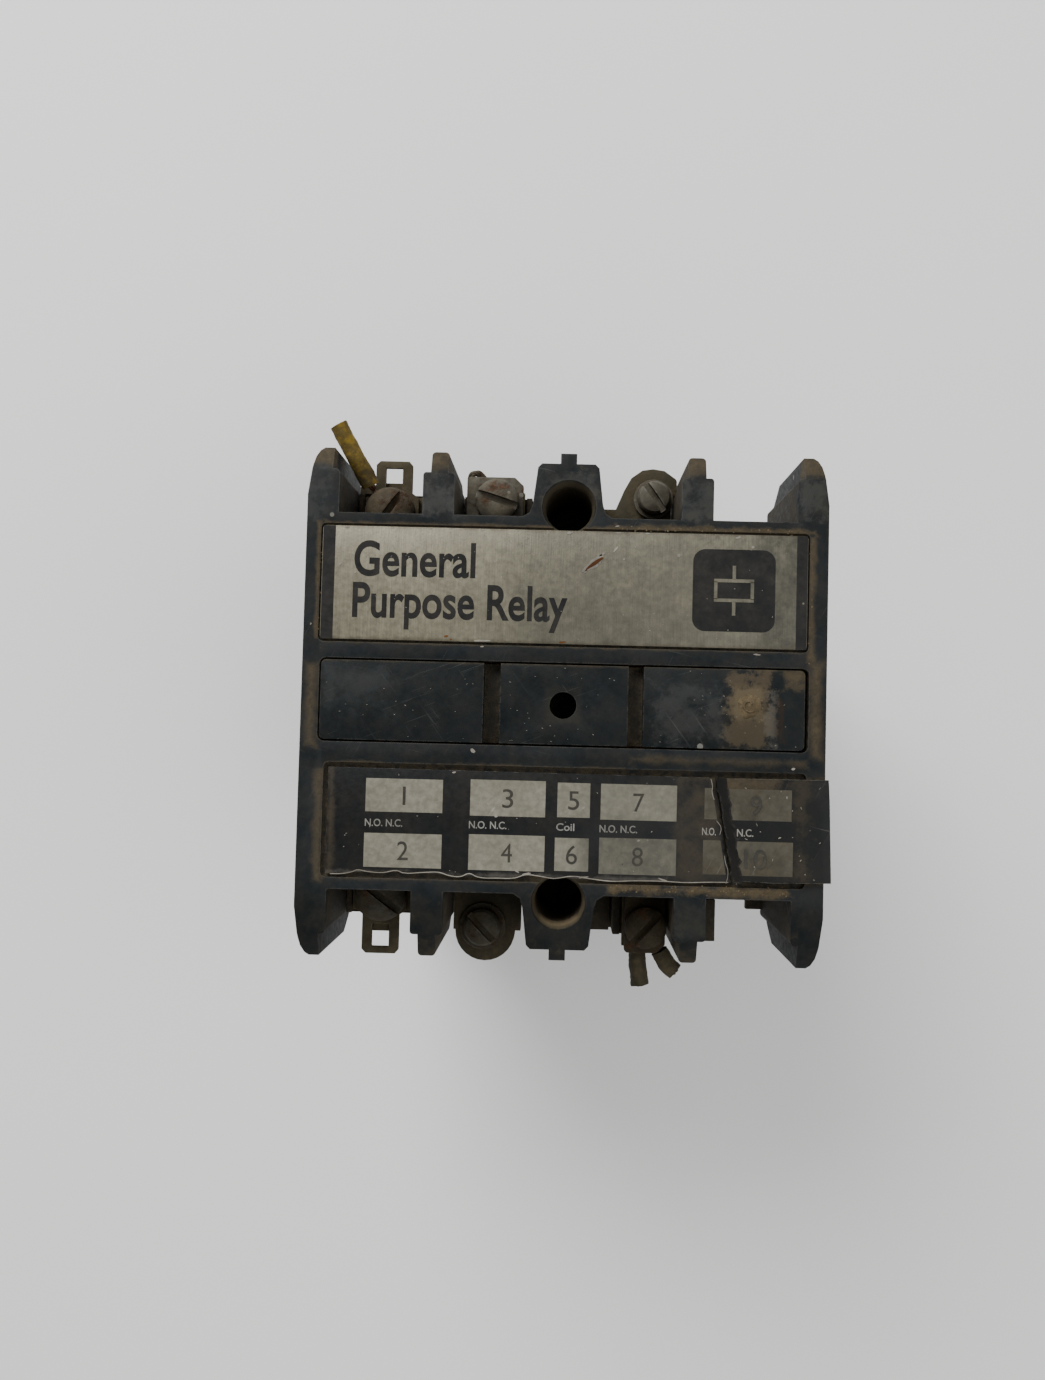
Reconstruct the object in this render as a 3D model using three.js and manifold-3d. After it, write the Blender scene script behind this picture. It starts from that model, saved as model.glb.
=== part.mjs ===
// Industrial control relay: a moulded housing with four pole bays, three of them fitted with
// double-break normally-open contacts, and a solenoid behind. Millimetres.
// X runs across the poles, Y towards the odd-numbered terminals, Z out of the mounting panel
// towards the user. The origin is the centre of the mounting face.
import * as THREE from "three";
import { mergeVertices } from "three/addons/utils/BufferGeometryUtils.js";
import Module from "manifold-3d";

// ---- driving dimensions ----
const FRONT_Z = 76; // front face of the housing
const HOUSING_BACK_Z = 50.6; // where the front housing meets the magnet housing
const PLATE_HALF_X = 42; // front plate, half its width
const PLATE_HALF_Y = 30.2; // front plate, half its height
const PLATE_T = 3;
const WALL_IN_X = 36.9; // inner face of the outer walls
const WIDE_Y = 37.3; // reach of the thick part of the walls
const WALL_TIP_Y = 41; // reach of the thin ends of the walls
const BARRIER_IN_X = 18.35; // barrier between an outer and an inner bay
const BARRIER_OUT_X = 23.45;
const BARRIER_TIP_Y = 40.6;
const SLOT_HALF_X = 39.2; // window that the contact carrier shows through
const SLOT_HALF_Y = 6.7;
const BORE_R = 3.8; // access bores of the two assembly screws
const BORE_RIM_R = 4.4;
const BORES = [[0.2, 31.9], [0.05, -31.4]];
const GAP = 0.3; // assembly clearance between neighbouring pieces

const POLES = [-30.2, -11.9, 11.9]; // X of the three fitted poles
const EMPTY_POLE = 30.2;
const STROKE = 4; // travel of the contact carrier and armature
const OPEN_GAP = 3.3; // open contact gap at rest
const BRIDGE_Z = 63.9; // underside of the moving contact bridges at rest
const TIP_Y = 11.5; // contact tips, either side of the carrier
const TIP_R = 2.2;
const TIP_T = 0.8;

const STRAP_T = 1.4;
const STRAP_IN_Z = BRIDGE_Z - TIP_T - OPEN_GAP - TIP_T - STRAP_T; // inner, contact-bearing level
const STRAP_OUT_Z = 61.4; // outer, terminal level
const STRAP_TOP_Z = STRAP_OUT_Z + STRAP_T;
const CLAMP_Z = 65.6; // underside of the clamping plates and washers over a wire

const CARRIER_BACK_Z = 61;
const CARRIER_HALF_Y = 6.4;
const ARMATURE_Z = 42.3; // pole face of the armature at rest
const ARMATURE_T = 7.5;
const CORE_TOP_Z = ARMATURE_Z - STROKE - GAP;
const CORE_HALF_X = 21.6;
const CORE_HALF_Y = 10;
const BASE_T = 1.6;
const REAR_Z = BASE_T + GAP; // back of the magnet housing

// ---- solid helpers ----
const wasm = await Module();
wasm.setup();
const root = new THREE.Group();
root.name = "control_relay";

/** Turns a closed three.js geometry into a manifold solid for joining and cutting. */
function solid(geometry) {
  const bare = geometry.index ? geometry.toNonIndexed() : geometry.clone();
  bare.deleteAttribute("normal");
  bare.deleteAttribute("uv");
  const merged = mergeVertices(bare, 1e-4);
  return new wasm.Manifold(
    new wasm.Mesh({
      numProp: 3,
      vertProperties: merged.attributes.position.array,
      triVerts: new Uint32Array(merged.index.array),
    }),
  );
}

/** Turns a manifold solid back into a three.js geometry. */
function geometryOf(body) {
  const mesh = body.getMesh();
  const geometry = new THREE.BufferGeometry();
  geometry.setAttribute("position", new THREE.BufferAttribute(mesh.vertProperties, 3));
  geometry.setIndex(new THREE.BufferAttribute(mesh.triVerts, 1));
  geometry.computeVertexNormals();
  return geometry;
}

const join = (...bodies) => bodies.reduce((a, b) => a.add(b));
const cut = (body, ...tools) => tools.reduce((a, b) => a.subtract(b), body);

/** Outline of a rectangle, its corners rounded by r. */
function rect(x0, x1, y0, y1, r = 0) {
  if (!r) return [[x0, y0], [x1, y0], [x1, y1], [x0, y1]];
  const corners = [[x1 - r, y1 - r, 0], [x0 + r, y1 - r, 1], [x0 + r, y0 + r, 2], [x1 - r, y0 + r, 3]];
  return corners.flatMap(([cx, cy, quarter]) =>
    [0, 1, 2, 3].map((i) => {
      const a = ((quarter + i / 3) * Math.PI) / 2;
      return [cx + r * Math.cos(a), cy + r * Math.sin(a)];
    }),
  );
}

/** Outline of a circle. */
function circle(x, y, r, facets = 20) {
  return Array.from({ length: facets }, (_, i) => {
    const a = (2 * Math.PI * i) / facets;
    return [x + r * Math.cos(a), y + r * Math.sin(a)];
  });
}

function extrude(outline, depth) {
  const shape = new THREE.Shape(outline.map(([x, y]) => new THREE.Vector2(x, y)));
  return new THREE.ExtrudeGeometry(shape, { depth, bevelEnabled: false });
}

/** XY outline carried from z0 to z1. */
const slab = (outline, z0, z1) => solid(extrude(outline, z1 - z0).translate(0, 0, z0));

/** YZ outline carried from x0 to x1. */
function beam(outline, x0, x1) {
  const turn = new THREE.Matrix4().makeBasis(
    new THREE.Vector3(0, 1, 0),
    new THREE.Vector3(0, 0, 1),
    new THREE.Vector3(1, 0, 0),
  );
  return solid(extrude(outline, x1 - x0).applyMatrix4(turn).translate(x0, 0, 0));
}

/** XZ outline carried from y0 to y1. */
function bar(outline, y0, y1) {
  return solid(extrude(outline, y1 - y0).rotateX(Math.PI / 2).translate(0, y1, 0));
}

const box = (x0, x1, y0, y1, z0, z1) => slab(rect(x0, x1, y0, y1), z0, z1);
const rod = (x, y, z0, z1, r, facets) => slab(circle(x, y, r, facets), z0, z1);

/** Profile of [radius, z] points turned about the Z axis through (x, y). */
function turned(profile, x, y, facets = 18) {
  const points = profile.map(([r, z]) => new THREE.Vector2(r, z));
  return solid(new THREE.LatheGeometry(points, facets).rotateX(Math.PI / 2).translate(x, y, 0));
}

/** Round section of radius r swept along a smooth path. */
function swept(path, r, steps, facets = 8) {
  const curve = path instanceof THREE.Curve ? path : new THREE.CatmullRomCurve3(path.map((p) => new THREE.Vector3(...p)));
  const shape = new THREE.Shape(circle(0, 0, r, facets).map(([x, y]) => new THREE.Vector2(x, y)));
  return solid(new THREE.ExtrudeGeometry(shape, { steps, bevelEnabled: false, extrudePath: curve }));
}

/** Adds one named piece to the part. */
function piece(name, body, color, roughness = 0.8, metalness = 0) {
  const material = new THREE.MeshStandardMaterial({ color, roughness, metalness });
  const mesh = new THREE.Mesh(geometryOf(body), material);
  mesh.name = name;
  root.add(mesh);
}

const PHENOLIC = 0x3f474c;
const DARK_PHENOLIC = 0x2b2a26;
const STEEL = 0x8d8d88;
const BRASS = 0x9a8a63;
const COPPER = 0x9c6a48;
const OLIVE = 0x6b6650;

// ---- front housing ----
/** Both ends (+Y and -Y) of a feature given for the +Y end as a YZ outline. */
function bothEnds(outline, x0, x1) {
  const other = outline.map(([y, z]) => [-y, z]).reverse();
  return [beam(outline, x0, x1), beam(other, x0, x1)];
}

/** Outline of an outer wall: its outer face leans inwards towards both rounded tips. */
function wallOutline(side) {
  const half = [
    [PLATE_HALF_X, 33], [41.7, 35], [41.3, 38], [41, 39.4], [40.4, 40.5], [39.7, WALL_TIP_Y], [38.1, WALL_TIP_Y],
  ];
  const outline = [...half, ...half.map(([x, y]) => [x, -y]).reverse()];
  return side > 0 ? outline : outline.map(([x, y]) => [-x, y]).reverse();
}

function frontHousing() {
  const back = HOUSING_BACK_Z;
  const bossTip = [[4.95, 38.2], [4.3, 38.85], [1.3, 38.85], [1.3, 40.5]];
  /** Outline of both central bosses, the given points leading up to their tips. */
  const web = (root) => {
    const half = [...root, ...bossTip];
    const top = [...half, ...half.map(([x, y]) => [-x, y]).reverse()];
    return [...top, ...top.map(([x, y]) => [-x, -y])];
  };
  const plain = web([[5.7, 0], [5.7, 30.9]]);
  const filleted = web([[7.2, 0], [7.2, 30.2], [6.1, 30.9], [5.65, 32.3]]);
  const solids = [
    slab(rect(-PLATE_HALF_X, PLATE_HALF_X, -PLATE_HALF_Y, PLATE_HALF_Y), FRONT_Z - PLATE_T, FRONT_Z),
    box(-37.5, 37.5, -30, 30, back, back + 3),
    slab(plain, back, FRONT_Z - 1),
    slab(filleted, FRONT_Z - PLATE_T, FRONT_Z),
  ];
  for (const side of [-1, 1]) {
    const span = (a, b) => (side > 0 ? [a, b] : [-b, -a]);
    solids.push(slab(rect(...span(WALL_IN_X, 40), -WIDE_Y, WIDE_Y, 0.8), back, FRONT_Z));
    solids.push(slab(wallOutline(side), back, FRONT_Z));
    solids.push(slab(rect(...span(BARRIER_IN_X, BARRIER_OUT_X), -37, 37, 0.5), back, FRONT_Z));
    solids.push(slab(rect(...span(19.4, 22.2), -BARRIER_TIP_Y, BARRIER_TIP_Y, 0.6), back, FRONT_Z));
  }
  // Locating ledges that only show where no terminal covers them.
  solids.push(box(4.6, 9.05, -39.3, -29.95, back, 56));
  solids.push(box(8.5, 11.2, -39.3, -29.95, back, 53.5));
  solids.push(box(34, 37.5, -35.6, -29, back, back + 1.6));
  solids.push(box(22, 26.9, -39.5, -32.5, 58, 62.5));

  const cuts = [
    slab(rect(-SLOT_HALF_X, SLOT_HALF_X, -SLOT_HALF_Y, SLOT_HALF_Y, 1), back + 3, 78),
    box(-5.8, 5.8, -13.5, 13.5, back - 1, 55.8),
    box(-5.8, 5.8, -SLOT_HALF_Y, SLOT_HALF_Y, back - 1, 78),
    slab(rect(-39.6, 39, 9.3, 28.4, 0.8), FRONT_Z - 0.7, 78),
    slab(rect(-38, 39, -28.3, -10, 0.8), FRONT_Z - 0.7, 78),
    // The thin ends of walls and barriers slope back and their rear corners are cut away.
    ...bothEnds([[37.2, 76], [42, 74.2], [42, 78], [37.2, 78]], -43, -15),
    ...bothEnds([[37.2, 76], [42, 74.2], [42, 78], [37.2, 78]], 15, 43),
    ...bothEnds([[38.2, 50], [42, 50], [42, 57], [38.2, 50.6]], -43, -15),
    ...bothEnds([[38.2, 50], [42, 50], [42, 57], [38.2, 50.6]], 15, 43),
  ];
  for (const [x, y] of BORES) {
    cuts.push(rod(x, y, 55, 78, BORE_R, 24));
    cuts.push(rod(x, y, back - 1, 56, 2.4));
    cuts.push(turned([[0, 73.8], [BORE_R - 0.05, 73.8], [BORE_RIM_R, 76], [BORE_RIM_R, 78], [0, 78]], x, y, 24));
  }
  return cut(join(...solids), ...cuts);
}
piece("front_housing", frontHousing(), PHENOLIC);

// ---- front plates and labels ----
piece("nameplate", slab(rect(-39.3, 38.7, 9.7, 28, 0.5), 75.6, 76.15), 0xb3aca0, 0.4, 0.7);

const labelFoot = [
  [-37.2, -27.8], [-32.1, -27.4], [-25.7, -27.1], [-18.1, -27.4], [-11.7, -27.8], [-7.7, -27.7],
  [-5.7, -27.2], [0.2, -27.4], [6.4, -27.7], [16.6, -27.6], [27.3, -27.5],
];
const labelOutline = [...labelFoot, [24.5, -11], [-10, -10.8], [-37.2, -10.8]];
piece("rating_label", slab(labelOutline, 75.6, 76), 0x1d1d1f, 0.35);
const tornOutline = [
  [28, -27.2], [34, -27.4], [43, -27.2], [42.8, -22], [42.6, -14], [42.4, -10.9], [34, -11], [25.1, -11],
];
piece("rating_label_torn_end", slab(tornOutline, 76.3, 76.7), 0x1d1d1f, 0.3);

// ---- contact carrier, moved by the armature ----
function carrier() {
  const half = CARRIER_HALF_Y;
  const pinHole = bar(circle(0, 46, 1.9), -15, 15);
  const cuts = [
    box(-12.75, -10.1, -8, 8, 74, 78),
    box(10.4, 12.8, -8, 8, 74, 78),
    rod(0, -0.1, 66, 78, 2.15),
    pinHole,
  ];
  for (const x of [...POLES, EMPTY_POLE]) cuts.push(box(x - 3.6, x + 3.6, -8, 8, BRIDGE_Z - GAP, 72.5));
  for (const x of [-21, 21]) cuts.push(rod(x, 0, 60, 70, 3.2));
  return cut(
    join(
      slab(rect(-38.95, 38.6, -half, half, 0.8), CARRIER_BACK_Z, FRONT_Z),
      box(-5.4, 5.4, -6, 6, 54.5, CARRIER_BACK_Z + 0.5),
      box(-5.4, 5.4, -13, 13, 50.3, 55),
      box(-4, 4, 10.4, 13, 43.4, 50.6),
      box(-4, 4, -13, -10.4, 43.4, 50.6),
    ),
    ...cuts,
  );
}
piece("contact_carrier", carrier(), 0x46505a);

/** Round-wire compression spring standing on z0, reaching z1. */
class Helix extends THREE.Curve {
  constructor(x, y, z0, z1, radius, turns) {
    super();
    Object.assign(this, { x, y, z0, z1, radius, turns });
  }
  getPoint(t, target = new THREE.Vector3()) {
    const a = 2 * Math.PI * this.turns * t;
    const { x, y, z0, z1, radius } = this;
    return target.set(x + radius * Math.cos(a), y + radius * Math.sin(a), z0 + (z1 - z0) * t);
  }
}

function spring(x, y, z0, z1, radius, wire, turns) {
  return swept(new Helix(x, y, z0 + wire, z1 - wire, radius, turns), wire, turns * 10, 5);
}

const sideName = (x) => (x < 0 ? "left" : "right");
for (const x of [-21, 21]) {
  piece("return_spring_" + sideName(x), spring(x, 0, 53.9, 69.7, 2.4, 0.35, 6), STEEL, 0.4, 0.9);
}

POLES.forEach((x, i) => {
  const n = i + 1;
  const tips = [-TIP_Y, TIP_Y].map((y) => rod(x, y, BRIDGE_Z - TIP_T, BRIDGE_Z + 0.1, TIP_R, 16));
  const blade = slab(rect(x - 3.2, x + 3.2, -14, 14, 1), BRIDGE_Z, BRIDGE_Z + 1.2);
  piece("contact_bridge_" + n, join(blade, ...tips), COPPER, 0.4, 0.9);
  const seat = [[0, 65.4], [2.6, 65.4], [2.6, 66], [1.1, 66], [1.1, 67.2], [0, 67.2]];
  piece("spring_seat_" + n, turned(seat, x, 0, 16), DARK_PHENOLIC);
  piece("contact_spring_" + n, spring(x, 0, 66.3, 72.2, 2.05, 0.3, 4), STEEL, 0.4, 0.9);
});

// ---- terminals: cartridge, contact strap, screw and clamping piece ----
// side: +1 for the odd end (+Y), -1 for the even end. x: cartridge span. strap: outer strap span.
const TERMINALS = {
  1: { side: 1, pole: 0, x: [-36.5, -23.9], end: 36.4, cheek: 38.2, strap: [-35.2, -25.2], strapEnd: 35.6,
       screw: [-30.1, 32], r: 4.25, tab: 41.7 },
  2: { side: -1, pole: 0, x: [-36.5, -23.9], end: 36.4, strap: [-35.2, -25.2], strapEnd: 35.6,
       screw: [-29.8, 32.6], r: 4.25, tab: 42.8 },
  3: { side: 1, pole: 1, x: [-18, -6.2], end: 36.2, strap: [-16.7, -7.5], strapEnd: 36.9,
       screw: [-12, 34.3], r: 3.6, clamp: [-17.2, -7.6, 29.3, 38.6] },
  4: { side: -1, pole: 1, x: [-18, -6.2], end: 29.6, strap: [-16.7, -7.5], strapEnd: 28.8 },
  7: { side: 1, pole: 2, x: [6.2, 18], end: 29.6, strap: [7.5, 16.7], strapEnd: 28.8 },
  8: { side: -1, pole: 2, x: [9.4, 18], end: 38.9, strap: [11, 17.7], strapEnd: 40.6, inner: 6.2,
       screw: [14.6, 36.4], r: 3.45, clamp: [11.2, 18, 29.3, 40.9] },
};

/** Slotted screw whose head stands on headZ, its slot turned by angle. */
function screw(x, y, { r, headZ, headH, dome, shankR, tipZ, angle, slotW = 1.2 }) {
  const top = headZ + headH;
  const profile = [
    [0, tipZ], [shankR, tipZ], [shankR, headZ], [r, headZ],
    [r, top - dome], [r * 0.8, top - dome * 0.3], [0, top],
  ];
  const slot = new THREE.BoxGeometry(2 * r + 1, slotW, 2.4);
  slot.rotateZ(angle).translate(x, y, top);
  return cut(turned(profile, x, y), solid(slot));
}

/** Moulded block that carries one contact strap: a trough inside, two side cheeks outside. */
function cartridge({ side, x, end, screw: at, inner = x[0], strap, cheek }) {
  const ys = (a, b) => (side > 0 ? [a, b] : [-b, -a]);
  const body = [box(...x, ...ys(8, end), 53.9, 62)];
  if (inner < x[0]) body.push(box(inner, x[0] + 1, ...ys(8, 29.6), 53.9, 62));
  if (cheek) body.push(box(x[0], x[0] + 2.8, ...ys(end - 0.5, cheek), 53.9, 61));
  const cuts = [
    box(inner - 1, x[1] + 1, ...ys(7, 26.2), STRAP_IN_Z - GAP, 64),
    box(strap[0] - GAP, strap[1] + GAP, ...ys(7, end + 1), STRAP_OUT_Z - GAP, 64),
  ];
  if (at) cuts.push(rod(at[0], side * at[1], 54.6, 64, 2.4, 16));
  return cut(join(...body), ...cuts);
}

/** Z-bent strap from the terminal down to the stationary contact tip. */
function contactStrap({ side, pole, strap, strapEnd, screw: at, tab: reach }) {
  const x = POLES[pole];
  const level = (z) => [z, z + STRAP_T];
  const [low, lowTop] = level(STRAP_IN_Z);
  const [high, highTop] = level(STRAP_OUT_Z);
  const bend = [[8, low], [22.2, low], [25.8, high], [25.8, highTop], [25.2, highTop], [21.6, lowTop], [8, lowTop]];
  const bent = side > 0 ? bend : bend.map(([y, z]) => [-y, z]).reverse();
  const ys = side > 0 ? [25.3, strapEnd] : [-strapEnd, -25.3];
  const tip = rod(x, side * TIP_Y, lowTop - 0.1, lowTop + TIP_T, TIP_R, 16);
  const body = join(beam(bent, x - 3.2, x + 3.2), box(...strap, ...ys, high, highTop), tip);
  if (!at) return body;
  const bored = body.subtract(rod(at[0], side * at[1], 60, 64, 2.4, 16));
  if (!reach) return bored;
  const tongue = side > 0 ? [strapEnd - 0.5, reach - 3.6] : [3.6 - reach, 0.5 - strapEnd];
  return join(bored, box(-32.2, -28.1, ...tongue, high, highTop));
}

/** Flat push-on tab clamped under a terminal screw, with a rectangular window at its end. */
function tab({ side, tab: reach, screw: at }) {
  const s = side;
  const outline = [
    [-34.4, 27.6], [-25.8, 27.6], [-25.8, 35.4], [-27, 36.2], [-27, reach - 0.7], [-27.6, reach],
    [-32.6, reach], [-33.3, reach - 0.7], [-33.3, 36.2], [-34.4, 35.4],
  ].map(([x, y]) => [x, s * y]);
  if (s < 0) outline.reverse();
  const window = [reach - 5, reach - 1.2].map((y) => s * y).sort((a, b) => a - b);
  return cut(
    slab(outline, STRAP_TOP_Z + GAP, STRAP_TOP_Z + 1.1),
    box(-31.6, -28.7, ...window, 60, 66),
    rod(at[0], s * at[1], 60, 66, 2.5, 16),
  );
}

for (const [n, t] of Object.entries(TERMINALS)) {
  piece("cartridge_" + n, cartridge(t), DARK_PHENOLIC);
  piece("contact_strap_" + n, contactStrap(t), BRASS, 0.5, 0.8);
  if (!t.screw) continue;
  const [x, y] = [t.screw[0], t.side * t.screw[1]];
  const washerZ = n === "1" ? CLAMP_Z : STRAP_TOP_Z + 1.4;
  if (t.tab) {
    piece("tab_" + n, tab(t), 0x86806a, 0.6, 0.6);
    const ring = [[2.4, washerZ], [4.1, washerZ], [4.1, washerZ + 0.7], [2.4, washerZ + 0.7], [2.4, washerZ]];
    piece("terminal_washer_" + n, turned(ring, x, y), STEEL, 0.6, 0.7);
  } else {
    const [x0, x1, y0, y1] = t.clamp;
    const s = t.side;
    const plate = [[x0, y0], [x1, y0], [x1, y1 - 1.4], [x1 - 1.5, y1], [x0 + 0.4, y1], [x0, y1 - 0.4]];
    const outline = s > 0 ? plate : plate.map(([px, py]) => [px, -py]).reverse();
    const body = cut(slab(outline, CLAMP_Z, CLAMP_Z + 1.4), rod(x, y, 60, 70, 2.4, 16));
    piece("clamp_plate_" + n, body, 0x8f8b80, 0.6, 0.6);
  }
  const headZ = (t.tab ? washerZ + 0.7 : CLAMP_Z + 1.4) + GAP;
  const angle = { 1: 0.97, 2: -0.64, 3: -0.3, 8: 0.85 }[n];
  const look = n === "1" ? { headH: 3, dome: 1.9 } : { headH: 2.6, dome: 1.2 };
  const spec = { r: t.r, headZ, ...look, shankR: 2, tipZ: 55.2, angle };
  piece("terminal_screw_" + n, screw(x, y, spec), STEEL, 0.6, 0.7);
}

// ---- wires left in the terminals ----
piece("wire_1_insulation", swept([[-33.6, 36.7, 66.8], [-36, 41, 68.5], [-38.8, 46.2, 70]], 1.5, 6, 12)
  .subtract(swept([[-32.7, 35.1, 66.1], [-33.6, 36.7, 66.8], [-36, 41, 68.5], [-39.4, 47.4, 70.3]], 1.05, 8)),
  0x8a8a4e, 0.7);
const hook = [[-35.9, 41, 68.45], [-33.9, 37.3, 66.85], [-32.9, 35.6, 65.3], [-31.6, 34.9, 64.8],
  [-29.6, 35.3, 64.75], [-27.3, 33.8, 64.75], [-26.9, 31.6, 64.75]];
piece("wire_1_core", swept(hook, 0.6, 16, 6), COPPER, 0.4, 0.9);

/** Insulated stub, its squeezed end and bare core reaching under the clamping plate. */
function stub(path, squeezed, core) {
  return join(swept(path, 1.55, 4, 12), swept(squeezed, 1.37, 3, 12), swept(core, 0.85, 3, 8));
}
piece("wire_8_left", stub([[13.6, -41.4, 64.2], [13.9, -44, 64.3], [14.2, -46.9, 64.6]],
  [[13.5, -40.5, 64.2], [13.55, -41.3, 64.2], [13.6, -42, 64.2]],
  [[13.4, -39.3, 64.2], [13.5, -40.3, 64.2], [13.6, -41.9, 64.25]]), OLIVE, 0.8);
piece("wire_8_right", stub([[17.9, -41.8, 64.25], [18.6, -43.1, 64.3], [20.2, -44.5, 64.5]],
  [[17.1, -40, 64.2], [17.4, -40.9, 64.2], [18.1, -42.2, 64.25]],
  [[16.3, -39.4, 64.2], [16.8, -40.2, 64.2], [17.8, -42, 64.25]]), OLIVE, 0.8);
piece("wire_3_strand", swept([[-12.6, 37.6, 64.4], [-14.2, 38.6, 64.5], [-15.6, 39.9, 65], [-16.8, 39.3, 65.4],
  [-17, 38.4, 64.6]], 0.65, 10, 6), 0x8a7a4c, 0.6, 0.5);

// ---- magnet: coil with two terminal ears, core, shading rings, armature ----
const EARS = {
  5: {
    screwAt: [14.9, 36.6],
    outline: [
      [18, 34], [19.6, 38.8], [18.8, 40.4], [16.8, 41.8], [14.8, 42.1], [12.9, 41.8], [11, 40.4],
      [9.8, 38.2], [8.4, 34.8], [6.3, 34.8], [6.3, 31],
    ],
  },
  6: { screwAt: [-12.9, -38.1], outline: circle(-12.5, -39, 5.15, 28) },
};

function coil() {
  const bodies = [
    slab(rect(-14.2, 14.2, -18.2, 18.2, 2), 14.5, 37.2),
    box(7, 17.9, 16, 34.3, 28, 37.2),
    box(7, 17.9, 30.7, 34.3, 28, 61),
    box(-17.9, -7, -34.3, -16, 28, 37.2),
    box(-17.9, -7, -34.3, -30.7, 28, 61),
    box(7.3, 18, 30.7, 34.8, 58, 61),
    box(-18, -6.4, -38.9, -30.7, 58, 61),
  ];
  for (const ear of Object.values(EARS)) bodies.push(slab(ear.outline, 58, 61));
  const cuts = [
    box(-6.4, 6.4, -10.4, 10.4, 10, 40),
    box(18, 24, 25, 37.4, 50, 62),
    box(19, 24, 37, 45, 50, 62),
    box(-24, -18, -37.4, -25, 50, 62),
    box(-24, -19, -46, -37, 50, 62),
  ];
  for (const ear of Object.values(EARS)) cuts.push(rod(...ear.screwAt, 50, 64, 2.1, 16));
  return cut(join(...bodies), ...cuts);
}
piece("coil", coil(), OLIVE);

for (const [n, ear] of Object.entries(EARS)) {
  const [x, y] = ear.screwAt;
  const r = n === "5" ? 3.5 : 4;
  piece("coil_washer_" + n, turned([[2.1, 61.3], [r, 61.3], [r, 61.8], [2.1, 61.8], [2.1, 61.3]], x, y), STEEL, 0.6, 0.7);
  const spec = { r: n === "5" ? 2.9 : 3.15, headZ: 62.1, headH: 2.2, dome: 0.9, shankR: 1.7, tipZ: 55.4, slotW: 1.1 };
  piece("coil_screw_" + n, screw(x, y, { ...spec, angle: n === "5" ? -0.95 : -0.8 }), STEEL, 0.6, 0.7);
}

function core() {
  const top = CORE_TOP_Z;
  const outline = [
    [-CORE_HALF_X, 6.5], [CORE_HALF_X, 6.5], [CORE_HALF_X, top], [14.7, top], [14.7, 14], [6, 14],
    [6, top - 0.2], [-6, top - 0.2], [-6, 14], [-14.7, 14], [-14.7, top], [-CORE_HALF_X, top],
  ];
  const rivets = [-18.1, 18.1].map((x) => bar(circle(x, 10.2, 1.6, 16), -10.8, 10.8));
  const slots = [box(17.3, 19.1, -12, 12, top - 2.5, top + 1), box(-19.1, -17.3, -12, 12, top - 2.5, top + 1)];
  return cut(join(bar(outline, -CORE_HALF_Y, CORE_HALF_Y), ...rivets), ...slots);
}
piece("magnet_core", core(), 0x6f6c66, 0.6, 0.7);

for (const side of [-1, 1]) {
  const span = (a, b) => (side > 0 ? [a, b] : [-b, -a]);
  const ring = slab(rect(...span(17.6, 23.2), -11.6, 11.6), CORE_TOP_Z - 2, CORE_TOP_Z - 0.4);
  const hole = box(...span(18.8, 21.9), -10.4, 10.4, 30, 40);
  piece("shading_ring_" + sideName(side), ring.subtract(hole), COPPER, 0.4, 0.9);
  piece("core_pad_" + sideName(side), box(...span(9, 20.5), -9, 9, 4.7, 6.2), 0x1c1c1c, 0.95);
}

const armatureTop = ARMATURE_Z + ARMATURE_T;
const armatureOutline = [
  [-CORE_HALF_X, ARMATURE_Z], [CORE_HALF_X, ARMATURE_Z], [CORE_HALF_X, armatureTop - 2],
  [CORE_HALF_X - 2, armatureTop], [-CORE_HALF_X + 2, armatureTop], [-CORE_HALF_X, armatureTop - 2],
];
const armatureRivets = [-15, 15].map((x) => bar(circle(x, 46, 1.6, 16), -10.8, 10.8));
const armature = join(bar(armatureOutline, -CORE_HALF_Y, CORE_HALF_Y), ...armatureRivets);
piece("armature", armature.subtract(bar(circle(0, 46, 1.9), -12, 12)), 0x6f6c66, 0.6, 0.7);
piece("armature_pin", bar(circle(0, 46, 1.6, 20), -13.3, 13.3), STEEL, 0.3, 0.9);

// ---- magnet housing, base plate and the two long assembly screws ----
function rearHousing() {
  const top = HOUSING_BACK_Z - GAP;
  const solids = [
    cut(
      slab(rect(-36.5, 36.5, -34, 34, 2), REAR_Z, top),
      slab(rect(-34, 34, -31.5, 31.5, 1.5), 4.4, top + 1),
    ),
    slab(rect(-4.6, 4.6, 27.5, 36.2, 1), REAR_Z, top),
    slab(rect(-4.6, 4.6, -35.8, -27.5, 1), REAR_Z, top),
  ];
  for (const side of [-1, 1]) {
    const span = (a, b) => (side > 0 ? [a, b] : [-b, -a]);
    solids.push(box(...span(22, 24), -11, 11, 4, 16));
    solids.push(box(-5, 5, ...span(10.4, 12.4), 4, 13));
  }
  const cuts = [box(6.6, 18.3, 30, 36, 27.5, top + 1), box(-18.3, -6.6, -36, -30, 27.5, top + 1)];
  for (const [x, y] of BORES) cuts.push(rod(x, y, 0, 52, 2.4, 16));
  return cut(join(...solids), ...cuts);
}
piece("magnet_housing", rearHousing(), PHENOLIC);

function basePlate() {
  const holes = BORES.map(([x, y]) => rod(x, y, -1, 3, 2.4, 16));
  for (const x of [-27, 27]) {
    for (const y of [-38.2, 38.2]) holes.push(slab(rect(x - 4.5, x + 4.5, y - 2.4, y + 2.4, 2.3), -1, 3));
  }
  return cut(slab(rect(-41.5, 41.5, -41.9, 41.9, 3), 0, BASE_T), ...holes);
}
piece("base_plate", basePlate(), 0x9a9a94, 0.5, 0.8);

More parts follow.
